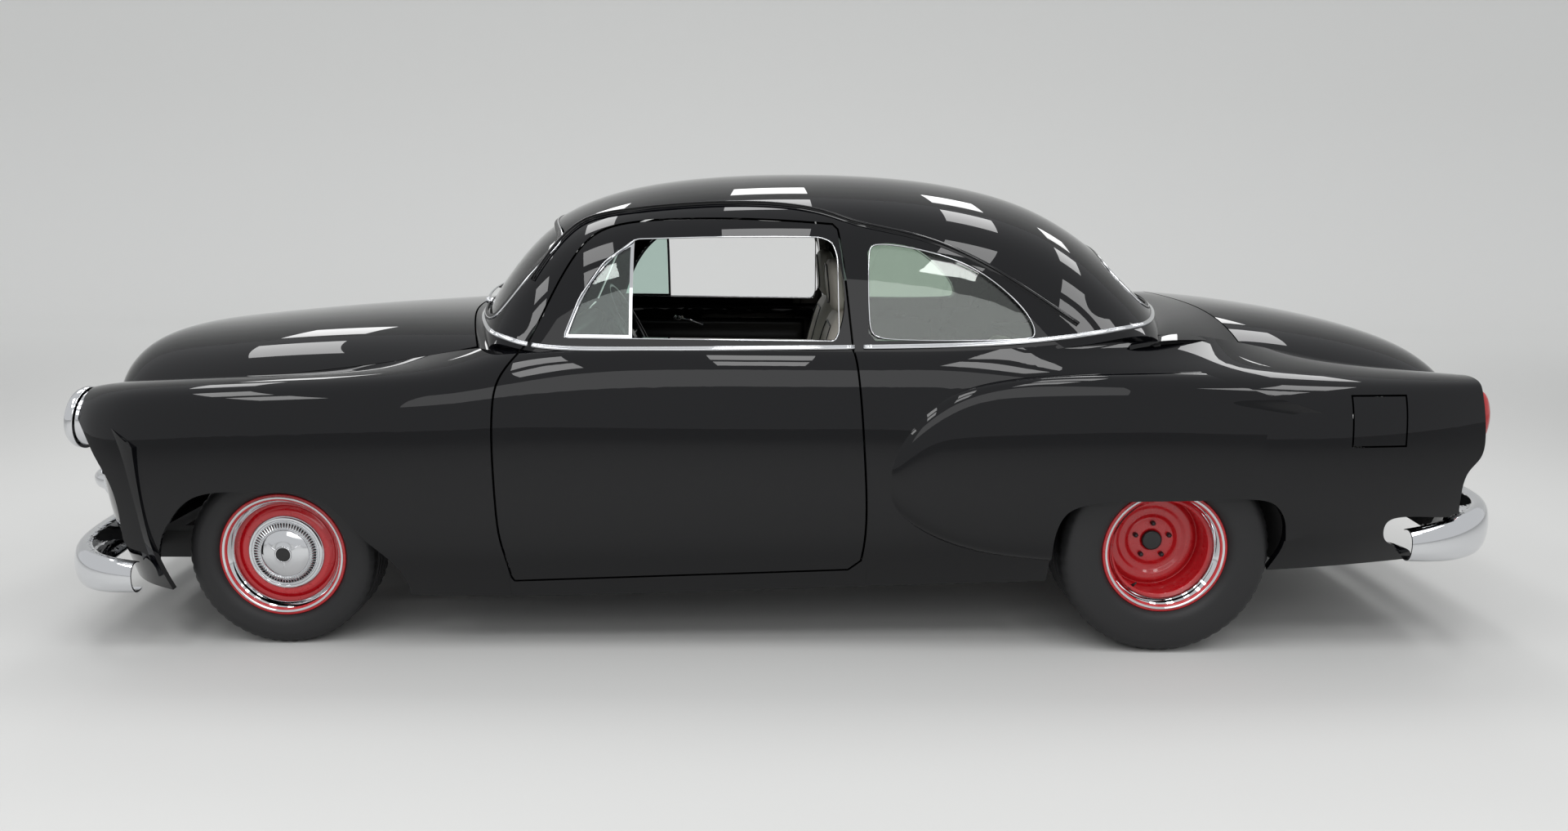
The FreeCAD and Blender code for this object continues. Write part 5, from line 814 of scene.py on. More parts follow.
def eased_loop(corners, reach, steps=4):
    """A closed line of corners, rounded in the same way."""
    corners = np.asarray(corners, float)
    around = np.concatenate([corners[-1:], corners, corners[:1]])
    return eased(around, reach, steps)[1:-1]


def turned(profile, around, centre, axis, raised=None, closed=False):
    """Points of a turned form: centre + axis a + (e cos q + f sin q) r for rows of angle q and columns
    (r, a); raised(q, r, a) is added along the axis."""
    axis = unit(np.asarray(axis, float))
    e = unit(np.cross(axis, (0, 0, 1.0)))
    f = np.cross(axis, e)
    q = np.linspace(0, 2 * np.pi, around, endpoint=False)[:, None]
    radius, out = np.asarray(profile, float).T
    radius, out = np.broadcast_arrays(radius[None], out[None])
    if raised is not None:
        out = out + raised(q, radius, out)
    spin = np.cos(q)[..., None] * e + np.sin(q)[..., None] * f
    points = np.asarray(centre, float) + out[..., None] * axis + spin * radius[..., None]
    return points.reshape(-1, 3), grid_faces(around, len(profile), True, closed, True)


def turned_piece(name, profile, around, centre, axis, look, body, raised=None, closed=False):
    """A turned piece; an open profile starts and ends on the axis."""
    return mesh_piece(name, *turned(profile, around, centre, axis, raised, closed), look, body)


def section_points(path, normals, section, closed=False):
    """A section laid along a path on a surface: P(s) + B(s) w + N(s) h for the section's points (w, h)."""
    across = unit(np.cross(directions(path, closed), normals))
    wide, tall = np.asarray(section, float).T
    return path[:, None] + across[:, None] * wide[None, :, None] + normals[:, None] * tall[None, :, None]


def swept_piece(name, path, normals, width, height, look, body):
    """A closed half-round strip: w = width/2 cos q, h = height sin q, its foot sunk by height/2."""
    q = np.linspace(0, np.pi, 9)
    wide = np.concatenate([np.cos(q) * width / 2, [-width / 2, width / 2]])
    tall = np.concatenate([np.sin(q) * height, [-height / 2, -height / 2]])
    points = section_points(path, normals, np.stack([wide, tall], -1), True)
    return mesh_piece(name, points, ring_faces(len(path), len(wide), True), look, body)


def on_surface(skin, points, free_axis, rounds=12):
    """Points put on the skin by moving them along one axis only, and the normals there."""
    points = np.array(points, float)
    for _ in range(rounds):
        _, place_on, normal, _ = skin.nearest(points)
        tilt = normal[:, free_axis]
        tilt = np.where(np.abs(tilt) > LEAST_SLOPE, tilt, LEAST_SLOPE * np.sign(tilt + 1e-9))
        points[:, free_axis] += ((place_on - points) * normal).sum(1) / tilt
    _, place_on, normal, _ = skin.nearest(points)
    return place_on, normal


def aft(points):
    """Points in metres from rows of millimetres behind the front axle, width and height."""
    points = np.asarray(points, float)
    return np.stack([FRONT_AXLE_X - points[:, 0] * MM, points[:, 1] * MM, points[:, 2] * MM], -1)


def length_property(name, description, default):
    """A property that holds a length in metres."""
    return bpy.props.FloatProperty(
        name=name, description=description, default=default, subtype="DISTANCE", unit="LENGTH")


class CoupeSettings(bpy.types.PropertyGroup):
    """Sizes of the looks."""

    edge_length: length_property("Longest edge", "Panel copies are split until no edge is longer", 0.045)
    tread_depth: length_property("Tread depth", "Depth of the tyres' grooves", 0.007)
    belt_width: length_property("Belt moulding width", "Width of the bright belt strip", 0.017)
    belt_height: length_property("Belt moulding height", "How far the belt strip stands proud", 0.008)
    trim_width: length_property("Window trim width", "Width of the bright strips round the windows", 0.009)
    seat_voxel: length_property("Seat mesh size", "Voxel size of the seats' padded meshes", 0.0095)
    around: bpy.props.IntProperty(
        name="Steps round a wheel", description="Facets round each turned piece", default=168)
    ribs: bpy.props.IntProperty(name="Cap ribs", description="Ribs round each hub cap", default=66)


class CoupeOperator:
    """What the coupe's operators share: each class's build makes its pieces."""

    bl_options = {"REGISTER", "UNDO"}

    def settings(self, context):
        return context.scene.coupe_looks

    def execute(self, context):
        self.build(context)
        return {"FINISHED"}


class COUPE_OT_finishes(CoupeOperator, bpy.types.Operator):
    """Give every CAD node its finish, smooth where it is round."""

    bl_idname = "coupe.finishes"
    bl_label = "Finishes"

    def build(self, context):
        for key, nodes in NODE_MATERIALS.items():
            for node in nodes:
                piece = frame["nodes"][node]
                piece.data.materials.clear()
                piece.data.materials.append(MATERIALS[key])
                smooth(piece.data)
                piece.modifiers.new("weld", "WELD").merge_threshold = MERGE_DISTANCE
                piece.modifiers.new("split", "EDGE_SPLIT").split_angle = CREASE_ANGLE


class COUPE_OT_panels(CoupeOperator, bpy.types.Operator):
    """Glossy copies of the body's panels and bumpers."""

    bl_idname = "coupe.panels"
    bl_label = "Panels and bumpers"

    def build(self, context):
        longest = self.settings(context).edge_length
        for node in BLACK_NODES:
            name = node.replace("_left", "").replace("_right", "")
            skinned_copy(node, SKINS[name], "black", longest)
        for node in ("front_bumper", "rear_bumper"):
            skinned_copy(node, SKINS[node], "chrome", longest)


# Each wheel's end, side, sign and place, its tyre's radius and width, and its rim's width
WHEELS = [
    (end, word, sign, *sizes)
    for end, sizes in (
        ("front", (FRONT_AXLE_X, 0.720, 0.305, 0.205, 0.165)),
        ("rear", (REAR_AXLE_X, 0.745, 0.348, 0.290, 0.244)))
    for sign, word in SIDES]
DISC_INSET = {"front": 0.045, "rear": 0.150}
GROOVE_SHARES = (-0.62, -0.21, 0.21, 0.62)
SIPE_DEPTH = 0.003
SIPE_SPACING = 3
NUT_COUNT = 5
NUT_CIRCLE_RADIUS = 0.0603
NUT_FOOT = 0.010
CAP_CLEARANCE = 0.0003


class COUPE_OT_tyres(CoupeOperator, bpy.types.Operator):
    """Tyres with grooved treads and ribbed sidewalls."""

    bl_idname = "coupe.tyres"
    bl_label = "Tyres"

    def build(self, context):
        settings = self.settings(context)
        for end, word, sign, x, y, radius, width, rim in WHEELS:
            bead = rim / 2 - 0.0083
            half = width / 2
            wall = spline([
                (0.1903, bead), (0.2083, bead), (0.2090, bead + 0.30 * (half - bead)),
                (0.222, bead + 0.80 * (half - bead)), (0.240, half), (0.87 * radius, half),
                (0.925 * radius, 0.975 * half), (0.968 * radius, 0.90 * half), (0.992 * radius, 0.80 * half),
                (radius, 0.72 * half)], 20)
            ridge = np.exp(-((wall[:, 0] - 0.90 * radius) / 0.0022) ** 2) + np.exp(
                -((wall[:, 0] - 0.87 * radius) / 0.0016) ** 2)
            wall[:, 1] += 0.0012 * ridge
            edge = 0.70 * half
            grooves = np.array(GROOVE_SHARES) * edge
            walls = [grooves + shift for shift in (-0.0055, -0.004, 0.004, 0.0055)]
            places = np.sort(np.concatenate([*walls, np.linspace(-edge, edge, 15)]))[::-1]
            depth = np.where(np.abs(places[:, None] - grooves[None]).min(1) < 0.0045, settings.tread_depth, 0)
            tread = np.stack([radius - depth - 0.002 * (places / edge) ** 2, places], -1)
            inner = wall[::-1] * (1, -1)
            profile = np.concatenate([wall, tread, inner])
            around = settings.around
            cut = (np.arange(around) % SIPE_SPACING == 0)[:, None] * (
                (np.abs(profile[:, 1]) > 0.55 * half) & (profile[:, 0] > 0.955 * radius))[None]
            points, faces = turned(profile, around, (x, sign * y, radius), (0, sign, 0), None, True)
            points = points.reshape(around, -1, 3)
            spokes = (points - (x, 0, radius)) * (1, 0, 1)
            points = points - unit(spokes) * (cut * SIPE_DEPTH)[..., None]
            node = f"{end}_tyre_{word}"
            piece = mesh_piece(node + "_look", points, faces, "rubber", body_of_node(node))
            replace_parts(piece, node)


class COUPE_OT_wheels(CoupeOperator, bpy.types.Operator):
    """Red steel wheels with their bright trim rings, nuts, valves and caps."""

    bl_idname = "coupe.wheels"
    bl_label = "Wheels"

    def build(self, context):
        around = self.settings(context).around
        for end, word, sign, x, y, radius, _, rim in WHEELS:
            half = rim / 2
            disc = half - DISC_INSET[end]
            back = disc - 0.012
            centre = (x, sign * y, radius)
            axis = (0, sign, 0)
            profile = eased_loop([
                (0.208, half), (0.208, half - 0.008), (0.190, half - 0.008), (0.190, half - 0.037),
                (0.165, half - 0.045), (0.165, 0.045 - half), (0.190, 0.037 - half), (0.190, 0.008 - half),
                (0.208, 0.008 - half), (0.208, -half), (0.184, -half), (0.184, 0.037 - half),
                (0.159, 0.045 - half), (0.159, back), (0.140, back), (0.140, back - 0.06),
                (0.0241, back - 0.06), (0.0241, disc + 0.004), (0.040, disc + 0.012), (0.078, disc + 0.010),
                (0.088, disc + 0.001), (0.108, disc + 0.001), (0.120, disc + 0.011), (0.142, disc + 0.013),
                (0.155, disc + 0.004), (0.159, disc + 0.002), (0.159, half - 0.045), (0.184, half - 0.037),
                (0.184, half - 0.004), (0.190, half)], 0.004, 3)
            node = f"{end}_wheel_{word}"
            body = body_of_node(node)
            piece = turned_piece(node + "_look", profile, around, centre, axis, "red", body, None, True)
            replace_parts(piece, node)
            ring = eased_loop([
                (0.1995, half + 0.0006), (0.1975, half + 0.0030), (0.1900, half - 0.0010),
                (0.1800, half - 0.0110), (0.1720, half - 0.0215), (0.1690, half - 0.0300),
                (0.1675, half - 0.0300), (0.1705, half - 0.0225), (0.1790, half - 0.0135),
                (0.1890, half - 0.0035)], 0.002, 3)
            turned_piece(f"trim_ring_{end}_{word}", ring, around, centre, axis, "chrome", body, None, True)
            if end == "rear":
                self.nuts(word, sign, x, y, radius, disc, body)
            self.valve(end, word, sign, x, y, radius, half, body)

    def nuts(self, word, sign, x, y, radius, disc, body):
        """Domed nuts on the disc and the black cap in its middle."""
        middle = np.array((x, sign * (y + disc + NUT_FOOT), radius))
        nut = [(0.0, 0.020), (0.006, 0.019), (0.0085, 0.014), (0.0085, 0.0), (0.0, 0.0)]
        for number in range(NUT_COUNT):
            turn = math.pi / 2 + 2 * math.pi / NUT_COUNT * number
            centre = middle + NUT_CIRCLE_RADIUS * np.array((math.cos(turn), 0, math.sin(turn)))
            turned_piece(f"wheel_nut_{word}_{number + 1}", nut, 6, centre, (0, sign, 0), "axle", body)
        cap = eased([(0.0, 0.014), (0.030, 0.013), (0.034, 0.010), (0.034, -0.002), (0.0, -0.002)], 0.003)
        turned_piece("centre_cap_" + word, cap, 64, middle, (0, sign, 0), "plastic", body)

    def valve(self, end, word, sign, x, y, radius, half, body):
        """The tyre valve's stem in the barrel."""
        turn = math.radians(-58)
        spoke = np.array((math.cos(turn), 0, math.sin(turn)))
        foot = np.array((x, sign * (y + half - 0.052), radius)) + spoke * 0.1590
        stem = [(0.0, 0.022), (0.0030, 0.021), (0.0034, 0.010), (0.0050, 0.006), (0.0055, -0.001),
                (0.0, -0.001)]
        turned_piece(f"valve_{end}_{word}", stem, 20, foot, (0, sign * 0.6, 0) - spoke * 0.8, "plastic", body)


class COUPE_OT_hub_caps(CoupeOperator, bpy.types.Operator):
    """Domed hub caps with a ring of ribs, three small spokes and a plain dark middle."""

    bl_idname = "coupe.hub_caps"
    bl_label = "Hub caps"

    def build(self, context):
        count = self.settings(context).ribs
        for end, word, sign, x, y, radius, _, rim in WHEELS[:2]:
            seat = rim / 2 - DISC_INSET[end] + CAP_CLEARANCE
            body = body_of_node("hub_cap_" + word)
            centre = (x, sign * (y + seat), radius)

            def raised(q, r, out):
                """Square-topped ribs, 2.4 mm high, from 84.5 to 104.5 mm out, and three 2 mm spokes that
                start at 28.5 mm and fade out at 64 mm."""
                wave = np.clip(2.2 * np.cos(count * q) + 0.3, 0, 1)
                ribs = 0.0024 * wave * ((r > 0.0845) & (r < 0.1045))
                away = np.abs((q - np.pi / 2 + np.pi / 3) % (2 * np.pi / 3) - np.pi / 3) * r
                fade = np.clip((0.064 - r) / 0.03, 0, 1) * (r > 0.0285)
                return ribs + 0.0020 * np.exp(-(away / 0.0016) ** 2) * fade

            face = eased([
                (0.0, 0.0405), (0.0235, 0.0405), (0.0235, 0.0425), (0.0270, 0.0425), (0.0280, 0.0395),
                (0.045, 0.0375), (0.064, 0.0325), (0.0790, 0.0265), (0.0805, 0.0225), (0.0830, 0.0225),
                (0.0842, 0.0250), (0.0846, 0.0250), (0.1040, 0.0215), (0.1048, 0.0215), (0.1070, 0.0165),
                (0.1110, 0.0165), (0.1140, 0.0215), (0.1200, 0.0215), (0.1260, 0.0150), (0.1280, 0.0070),
                (0.1280, 0.0)], 0.0012, 3)
            behind = np.array([(0.1250, 0.0), (0.1240, 0.010), (0.1000, 0.0125), (0.080, 0.0190),
                               (0.0, 0.0360)])
            dense = np.linspace((0.0850, 0.0249), (0.1036, 0.0216), 6)
            cut = int(np.searchsorted(face[:, 0], 0.0848))
            face = np.concatenate([face[:cut], dense, face[cut:]])
            profile = np.concatenate([face, behind])
            piece = turned_piece(
                f"hub_cap_{word}_look", profile, count * 5, centre, (0, sign, 0), "cap", body, raised)
            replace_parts(piece, "hub_cap_" + word)
            middle = eased([(0.0, 0.0427), (0.0180, 0.0423), (0.0231, 0.0412), (0.0231, 0.0395),
                            (0.0, 0.0395)], 0.001)
            turned_piece("hub_cap_middle_" + word, middle, 96, centre, (0, sign, 0), "plastic", body)


LAMP_AXIS = (1, 0, 0.12)
LAMP_STATION = -0.715
LAMP_PLACE = (0.700, 0.738)
LAMP_SIZE = (0.1034, 0.12)
FLUTE_PITCH = 0.009
FLUTE_HEIGHT = 0.0005


class COUPE_OT_lamps(CoupeOperator, bpy.types.Operator):
    """Headlamps: a bright bezel, a mirror behind and a fluted lens."""

    bl_idname = "coupe.lamps"
    bl_label = "Lamps"

    def build(self, context):
        def flutes(q, r, out):
            """Upright flutes, cos(2 pi y / pitch), over the lens's face."""
            wave = np.cos(2 * np.pi * np.cos(q) * r / FLUTE_PITCH)
            return FLUTE_HEIGHT * wave * (out > 0.88 * LAMP_SIZE[1])

        s = np.linspace(0, 1, 26)
        t = np.linspace(0, 1, 24)
        bezel = eased_loop(np.array([
            (0.78, 0.0), (0.80, 0.02), (0.88, 0.62), (1.0, 0.62), (1.0, 0.76), (0.955, 0.84), (0.915, 0.885),
            (0.865, 0.905), (0.850, 0.885), (0.850, 0.66), (0.79, 0.60), (0.76, 0.05)]) * LAMP_SIZE, 0.003, 3)
        lens = np.concatenate([
            np.stack([0.845 * s, 0.995 - 0.10 * s ** 2.2], -1), [(0.845, 0.86), (0.0, 0.93)]]) * LAMP_SIZE
        bowl = np.concatenate([
            np.stack([0.845 * t, 0.30 + 0.52 * t ** 2], -1), [(0.80, 0.30), (0.0, 0.02)]]) * LAMP_SIZE
        for sign, word in SIDES:
            centre = (float(station(LAMP_STATION)), sign * LAMP_PLACE[0], LAMP_PLACE[1])
            name = f"headlamp_{word}_"
            piece = turned_piece(name + "bezel", bezel, 96, centre, LAMP_AXIS, "chrome", "car", None, True)
            if word == "left":
                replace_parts(piece, "headlamps")
            turned_piece(name + "lens", lens, 180, centre, LAMP_AXIS, "lens", "car", flutes)
            turned_piece(name + "bowl", bowl, 96, centre, LAMP_AXIS, "chrome", "car")


BELT_LINE = (
    (575, 0, 1092), (583, 190, 1090), (594, 375, 1086), (614, 530, 1081), (648, 650, 1071), (700, 745, 1047),
    (760, 790, 1022), (860, 812, 1003), (1000, 815, 998), (1300, 815, 1001), (1900, 815, 1010),
    (2293, 812, 1020), (2500, 805, 1036), (2690, 790, 1060), (2800, 765, 1083), (2875, 715, 1100),
    (2935, 600, 1110), (2985, 400, 1119), (3022, 200, 1123), (3034, 0, 1124),
)


def loop_points(rows):
    """A closed loop's control points from its left half."""
    left = np.asarray(rows, float)
    return np.concatenate([left, left[-2:0:-1] * (1, -1, 1)])


def closed_spline(points, count):
    """A closed smooth line on control points: the cubic B-spline of the wrapped row, over one turn."""
    points = np.asarray(points, float)
    t = np.linspace(0, len(points), count, endpoint=False)
    index = np.floor(t).astype(int)
    f = (t - index)[:, None]
    p0, p1, p2, p3 = (points[(index + shift) % len(points)] for shift in (-1, 0, 1, 2))
    w1 = 3 * f ** 3 - 6 * f ** 2 + 4
    w2 = -3 * f ** 3 + 3 * f ** 2 + 3 * f + 1
    return ((1 - f) ** 3 * p0 + w1 * p1 + w2 * p2 + f ** 3 * p3) / 6


def lofted(name, rings, look, body):
    """A piece over an open row of rings, its ends capped and its faces turned outwards."""
    piece = mesh_piece(name, rings, ring_faces(*rings.shape[:2]), look, body)
    work = bmesh.new()
    work.from_mesh(piece.data)
    bmesh.ops.remove_doubles(work, verts=work.verts, dist=MERGE_DISTANCE)
    bmesh.ops.recalc_face_normals(work, faces=work.faces)
    work.to_mesh(piece.data)
    work.free()
    return piece


def strip_piece(name, path, normals, section, look, body):
    """An open strip on a surface with its own section."""
    return lofted(name, section_points(path, normals, section), look, body)


def rounded_loop(corners, reach, steps):
    """A closed line in space with rounded corners, evenly filled: straight runs between short arcs."""
    ahead = np.roll(corners, -1, 0) - corners
    length = np.linalg.norm(ahead, axis=1, keepdims=True)
    way = ahead / length
    cut = np.minimum(reach, LONGEST_CUT * length)
    cut = np.minimum(cut, np.roll(cut, 1, 0))
    start = corners - np.roll(way, 1, 0) * cut
    end = corners + way * cut
    s = np.linspace(0, 1, 8)[1:-1][None, :, None]
    runs = end[:, None] * (1 - s) + np.roll(start, -1, 0)[:, None] * s
    return np.concatenate([arcs(start, corners, end, steps), runs], 1).reshape(-1, 3)


def door_seams(height):
    """X of the door's front and rear seams at a height, from the middle of the panel gap."""
    loop = np.concatenate(DOOR_SHARES)
    z = loop[:, 1] * ROOF_HEIGHT
    x = station(loop[:, 0])
    ahead = np.roll(np.arange(len(loop)), -1)
    crossed = (z - height) * (z[ahead] - height) < 0
    share = (height - z[crossed]) / (z[ahead][crossed] - z[crossed])
    at = x[crossed] + share * (x[ahead][crossed] - x[crossed])
    return float(at.max()) + PANEL_GAP / 2, float(at.min()) - PANEL_GAP / 2


GUTTER_LINE = (
    (838, 735, 1215), (880, 722, 1290), (958, 702, 1393), (1040, 698, 1420), (1125, 700, 1436),
    (1363, 702, 1462), (1628, 704, 1468), (1800, 712, 1440), (1887, 740, 1402), (2078, 744, 1373),
    (2239, 744, 1317), (2403, 744, 1228), (2541, 742, 1136), (2610, 742, 1090),
)
PANES = (("windshield", WINDSHIELD_SHARES, 0.9), ("rear_window", REAR_WINDOW_SHARES, -1.2))
PANE_MIDDLE_Z = 0.795 * ROOF_HEIGHT
PANE_POINTS = 260
SIDE_WINDOW_Y = 0.79
BELT_SEAM_Z = 1.035
RUBBER_SCALE = 0.985


def pane_edge(shares, back, scale=1.0):
    """A pane's outline on the greenhouse, drawn in towards its middle by the scale, and its normals."""
    half = np.array([
        (back, width * HALF_WIDTH * scale, (height * ROOF_HEIGHT - PANE_MIDDLE_Z) * scale + PANE_MIDDLE_Z)
        for width, height in shares])
    return on_surface(greenhouse, closed_spline(loop_points(half), PANE_POINTS), 0)


def side_window(runs):
    """A side window's corners from its runs of shares, level with the window's plane."""
    window = np.concatenate(runs)
    return np.stack([
        station(window[:, 0]), np.full(len(window), SIDE_WINDOW_Y), window[:, 1] * ROOF_HEIGHT], -1)


class COUPE_OT_mouldings(CoupeOperator, bpy.types.Operator):
    """Bright belt moulding, gutters over the doors, and thin bright edges round the windows."""

    bl_idname = "coupe.mouldings"
    bl_label = "Mouldings"

    def build(self, context):
        settings = self.settings(context)
        self.belt(settings)
        self.gutters()
        for name, shares, back in PANES:
            points, normals = pane_edge(shares, back)
            swept_piece(name + "_trim", points, normals, settings.trim_width * 0.6, 0.004, "chrome", "car")
        quarter = on_surface(greenhouse, closed_spline(side_window(QUARTER_WINDOW_SHARES), 200), 1)
        door = on_surface(greenhouse, rounded_loop(side_window(DOOR_WINDOW_SHARES), 0.02, 6), 1, 6)
        width = settings.trim_width * 0.45
        for sign, word in SIDES:
            self.edge("quarter_window_trim_" + word, quarter, sign, width, 0.003, "car")
            self.edge("door_window_trim_" + word, door, sign, 0.004, 0.0022, "door_" + word)

    def edge(self, name, line, sign, width, height, body):
        """A thin bright edge round a side window, on the left or mirrored to the right."""
        points, normals = line
        mirror = (1, sign, 1)
        swept_piece(name, points * mirror, normals * mirror, width, height, "chrome", body)

    def belt(self, settings):
        """The belt strip in four lengths that part at the doors' seams: a bead, a groove and a foot."""
        line = closed_spline(aft(loop_points(BELT_LINE)), 640)
        _, points, normals, _ = greenhouse.nearest(line)
        shares = np.array([(-1, -0.3), (-1, 0.35), (-0.75, 0.75), (-0.42, 0.45), (-0.30, 0.70), (0.20, 1),
                           (0.72, 0.85), (1, 0.30), (1, -0.3)])
        bead = eased_loop(shares * (settings.belt_width / 2, settings.belt_height), 0.0014, 3)
        front_x, rear_x = door_seams(BELT_SEAM_Z)
        x, y = points[:, 0], points[:, 1]
        for sign, word in SIDES:
            near = (y * sign > 0.70) & (x < front_x - PANEL_GAP / 2) & (x > rear_x + PANEL_GAP / 2)
            self.length("belt_door_" + word, points, normals, near, bead, "door_" + word)
        self.length("belt_front", points, normals, x > front_x + PANEL_GAP / 2, bead, "car")
        self.length("belt_rear", points, normals, x < rear_x - PANEL_GAP / 2, bead, "car")

    def length(self, name, points, normals, chosen, section, body):
        """The chosen stretch of the closed line, in order, as one strip."""
        start = int(np.flatnonzero(chosen & ~np.roll(chosen, 1))[0])
        order = (start + np.arange(int(chosen.sum()))) % len(points)
        strip_piece(name, points[order], normals[order], section, "chrome", body)

    def gutters(self):
        """The roof's rain gutters in body paint: a small lip swept along each side over the door."""
        line = spline(aft(GUTTER_LINE), 120)
        points, normals = on_surface(greenhouse, line, 1, 6)
        lip = eased_loop([(-0.010, -0.004), (-0.010, 0.002), (-0.004, 0.010), (0.001, 0.0125),
                          (0.0045, 0.0120), (0.0045, 0.0095), (0.001, 0.0080), (0.003, 0.002),
                          (0.010, 0.0005), (0.010, -0.004)], 0.001, 3)
        for sign, word in SIDES:
            mirror = (1, sign, 1)
            strip_piece("gutter_" + word, points * mirror, normals * mirror, lip * (sign, 1), "black", "car")


class COUPE_OT_windshield(CoupeOperator, bpy.types.Operator):
    """Black rubber round the windshield and rear window, and two wipers at the windshield's foot."""

    bl_idname = "coupe.windshield"
    bl_label = "Windshield rubber and wipers"

    def build(self, context):
        for name, shares, back in PANES:
            points, normals = pane_edge(shares, back, RUBBER_SCALE)
            swept_piece(name + "_rubber", points, normals, 0.022, 0.003, "gasket", "car")
        for number, ends in enumerate(((0.30, 0.02, 1.152), (-0.30, -0.58, 1.140)), 1):
            self.wiper(number, *ends)

    def wiper(self, number, foot_y, tip_y, tip_z):
        """A wiper: a domed pivot, a tapering arm and a blade lying on the glass."""
        ends = np.array([(0.9, foot_y, 1.108), (0.9, tip_y, tip_z)])
        s = np.linspace(0, 1, 40)[:, None]
        points, normals = on_surface(greenhouse, ends[0] * (1 - s) + ends[1] * s, 0)
        arm = points + normals * (0.008 + 0.010 * np.sin(np.pi * s) ** 0.8)
        tube(f"wiper_arm_{number}", arm, np.linspace(0.0045, 0.0028, 40), "chrome", "car", False, 10, 0.6)
        pivot = [(0.0, 0.018), (0.008, 0.017), (0.012, 0.012), (0.014, 0.0), (0.014, -0.006), (0.0, -0.006)]
        turned_piece(f"wiper_pivot_{number}", eased(pivot, 0.002), 40, points[0], normals[0], "chrome", "car")
        along = np.array((0, -1.0 if tip_y < foot_y else 1.0, 0.06))
        t = np.linspace(-0.13, 0.13, 40)[:, None]
        blade, out = on_surface(greenhouse, ends[1] + along * t, 0)
        section = eased_loop([
            (-0.0012, -0.0005), (-0.0012, 0.004), (-0.0032, 0.006), (-0.0032, 0.009), (0.0032, 0.009),
            (0.0032, 0.006), (0.0012, 0.004), (0.0012, -0.0005)], 0.0008, 3)
        strip_piece(f"wiper_blade_{number}", blade, out, section, "gasket", "car")


STUDIO_HALF = 34.0
WALL_Y = -9.0
WALL_CURVE = 3.0
WALL_TOP = 16.0
PANEL_Z = 4.2
PANEL_ROWS = (3.9, 2.1, -0.9, -3.1)
PANEL_COLUMNS = (-3.6, -1.75, 0.1, 1.95, 3.8)
PHOTO_WIDTH = 1920
FOCAL_PIXELS = 1419.56
VIEW_CENTRE = (955.69, 509.15)
CAMERA_PLACE = (-0.11833 + 0.2225, 4.52565, 1.48129)
PITCH, YAW, ROLL = 0.18508, -0.018525, 0.009304


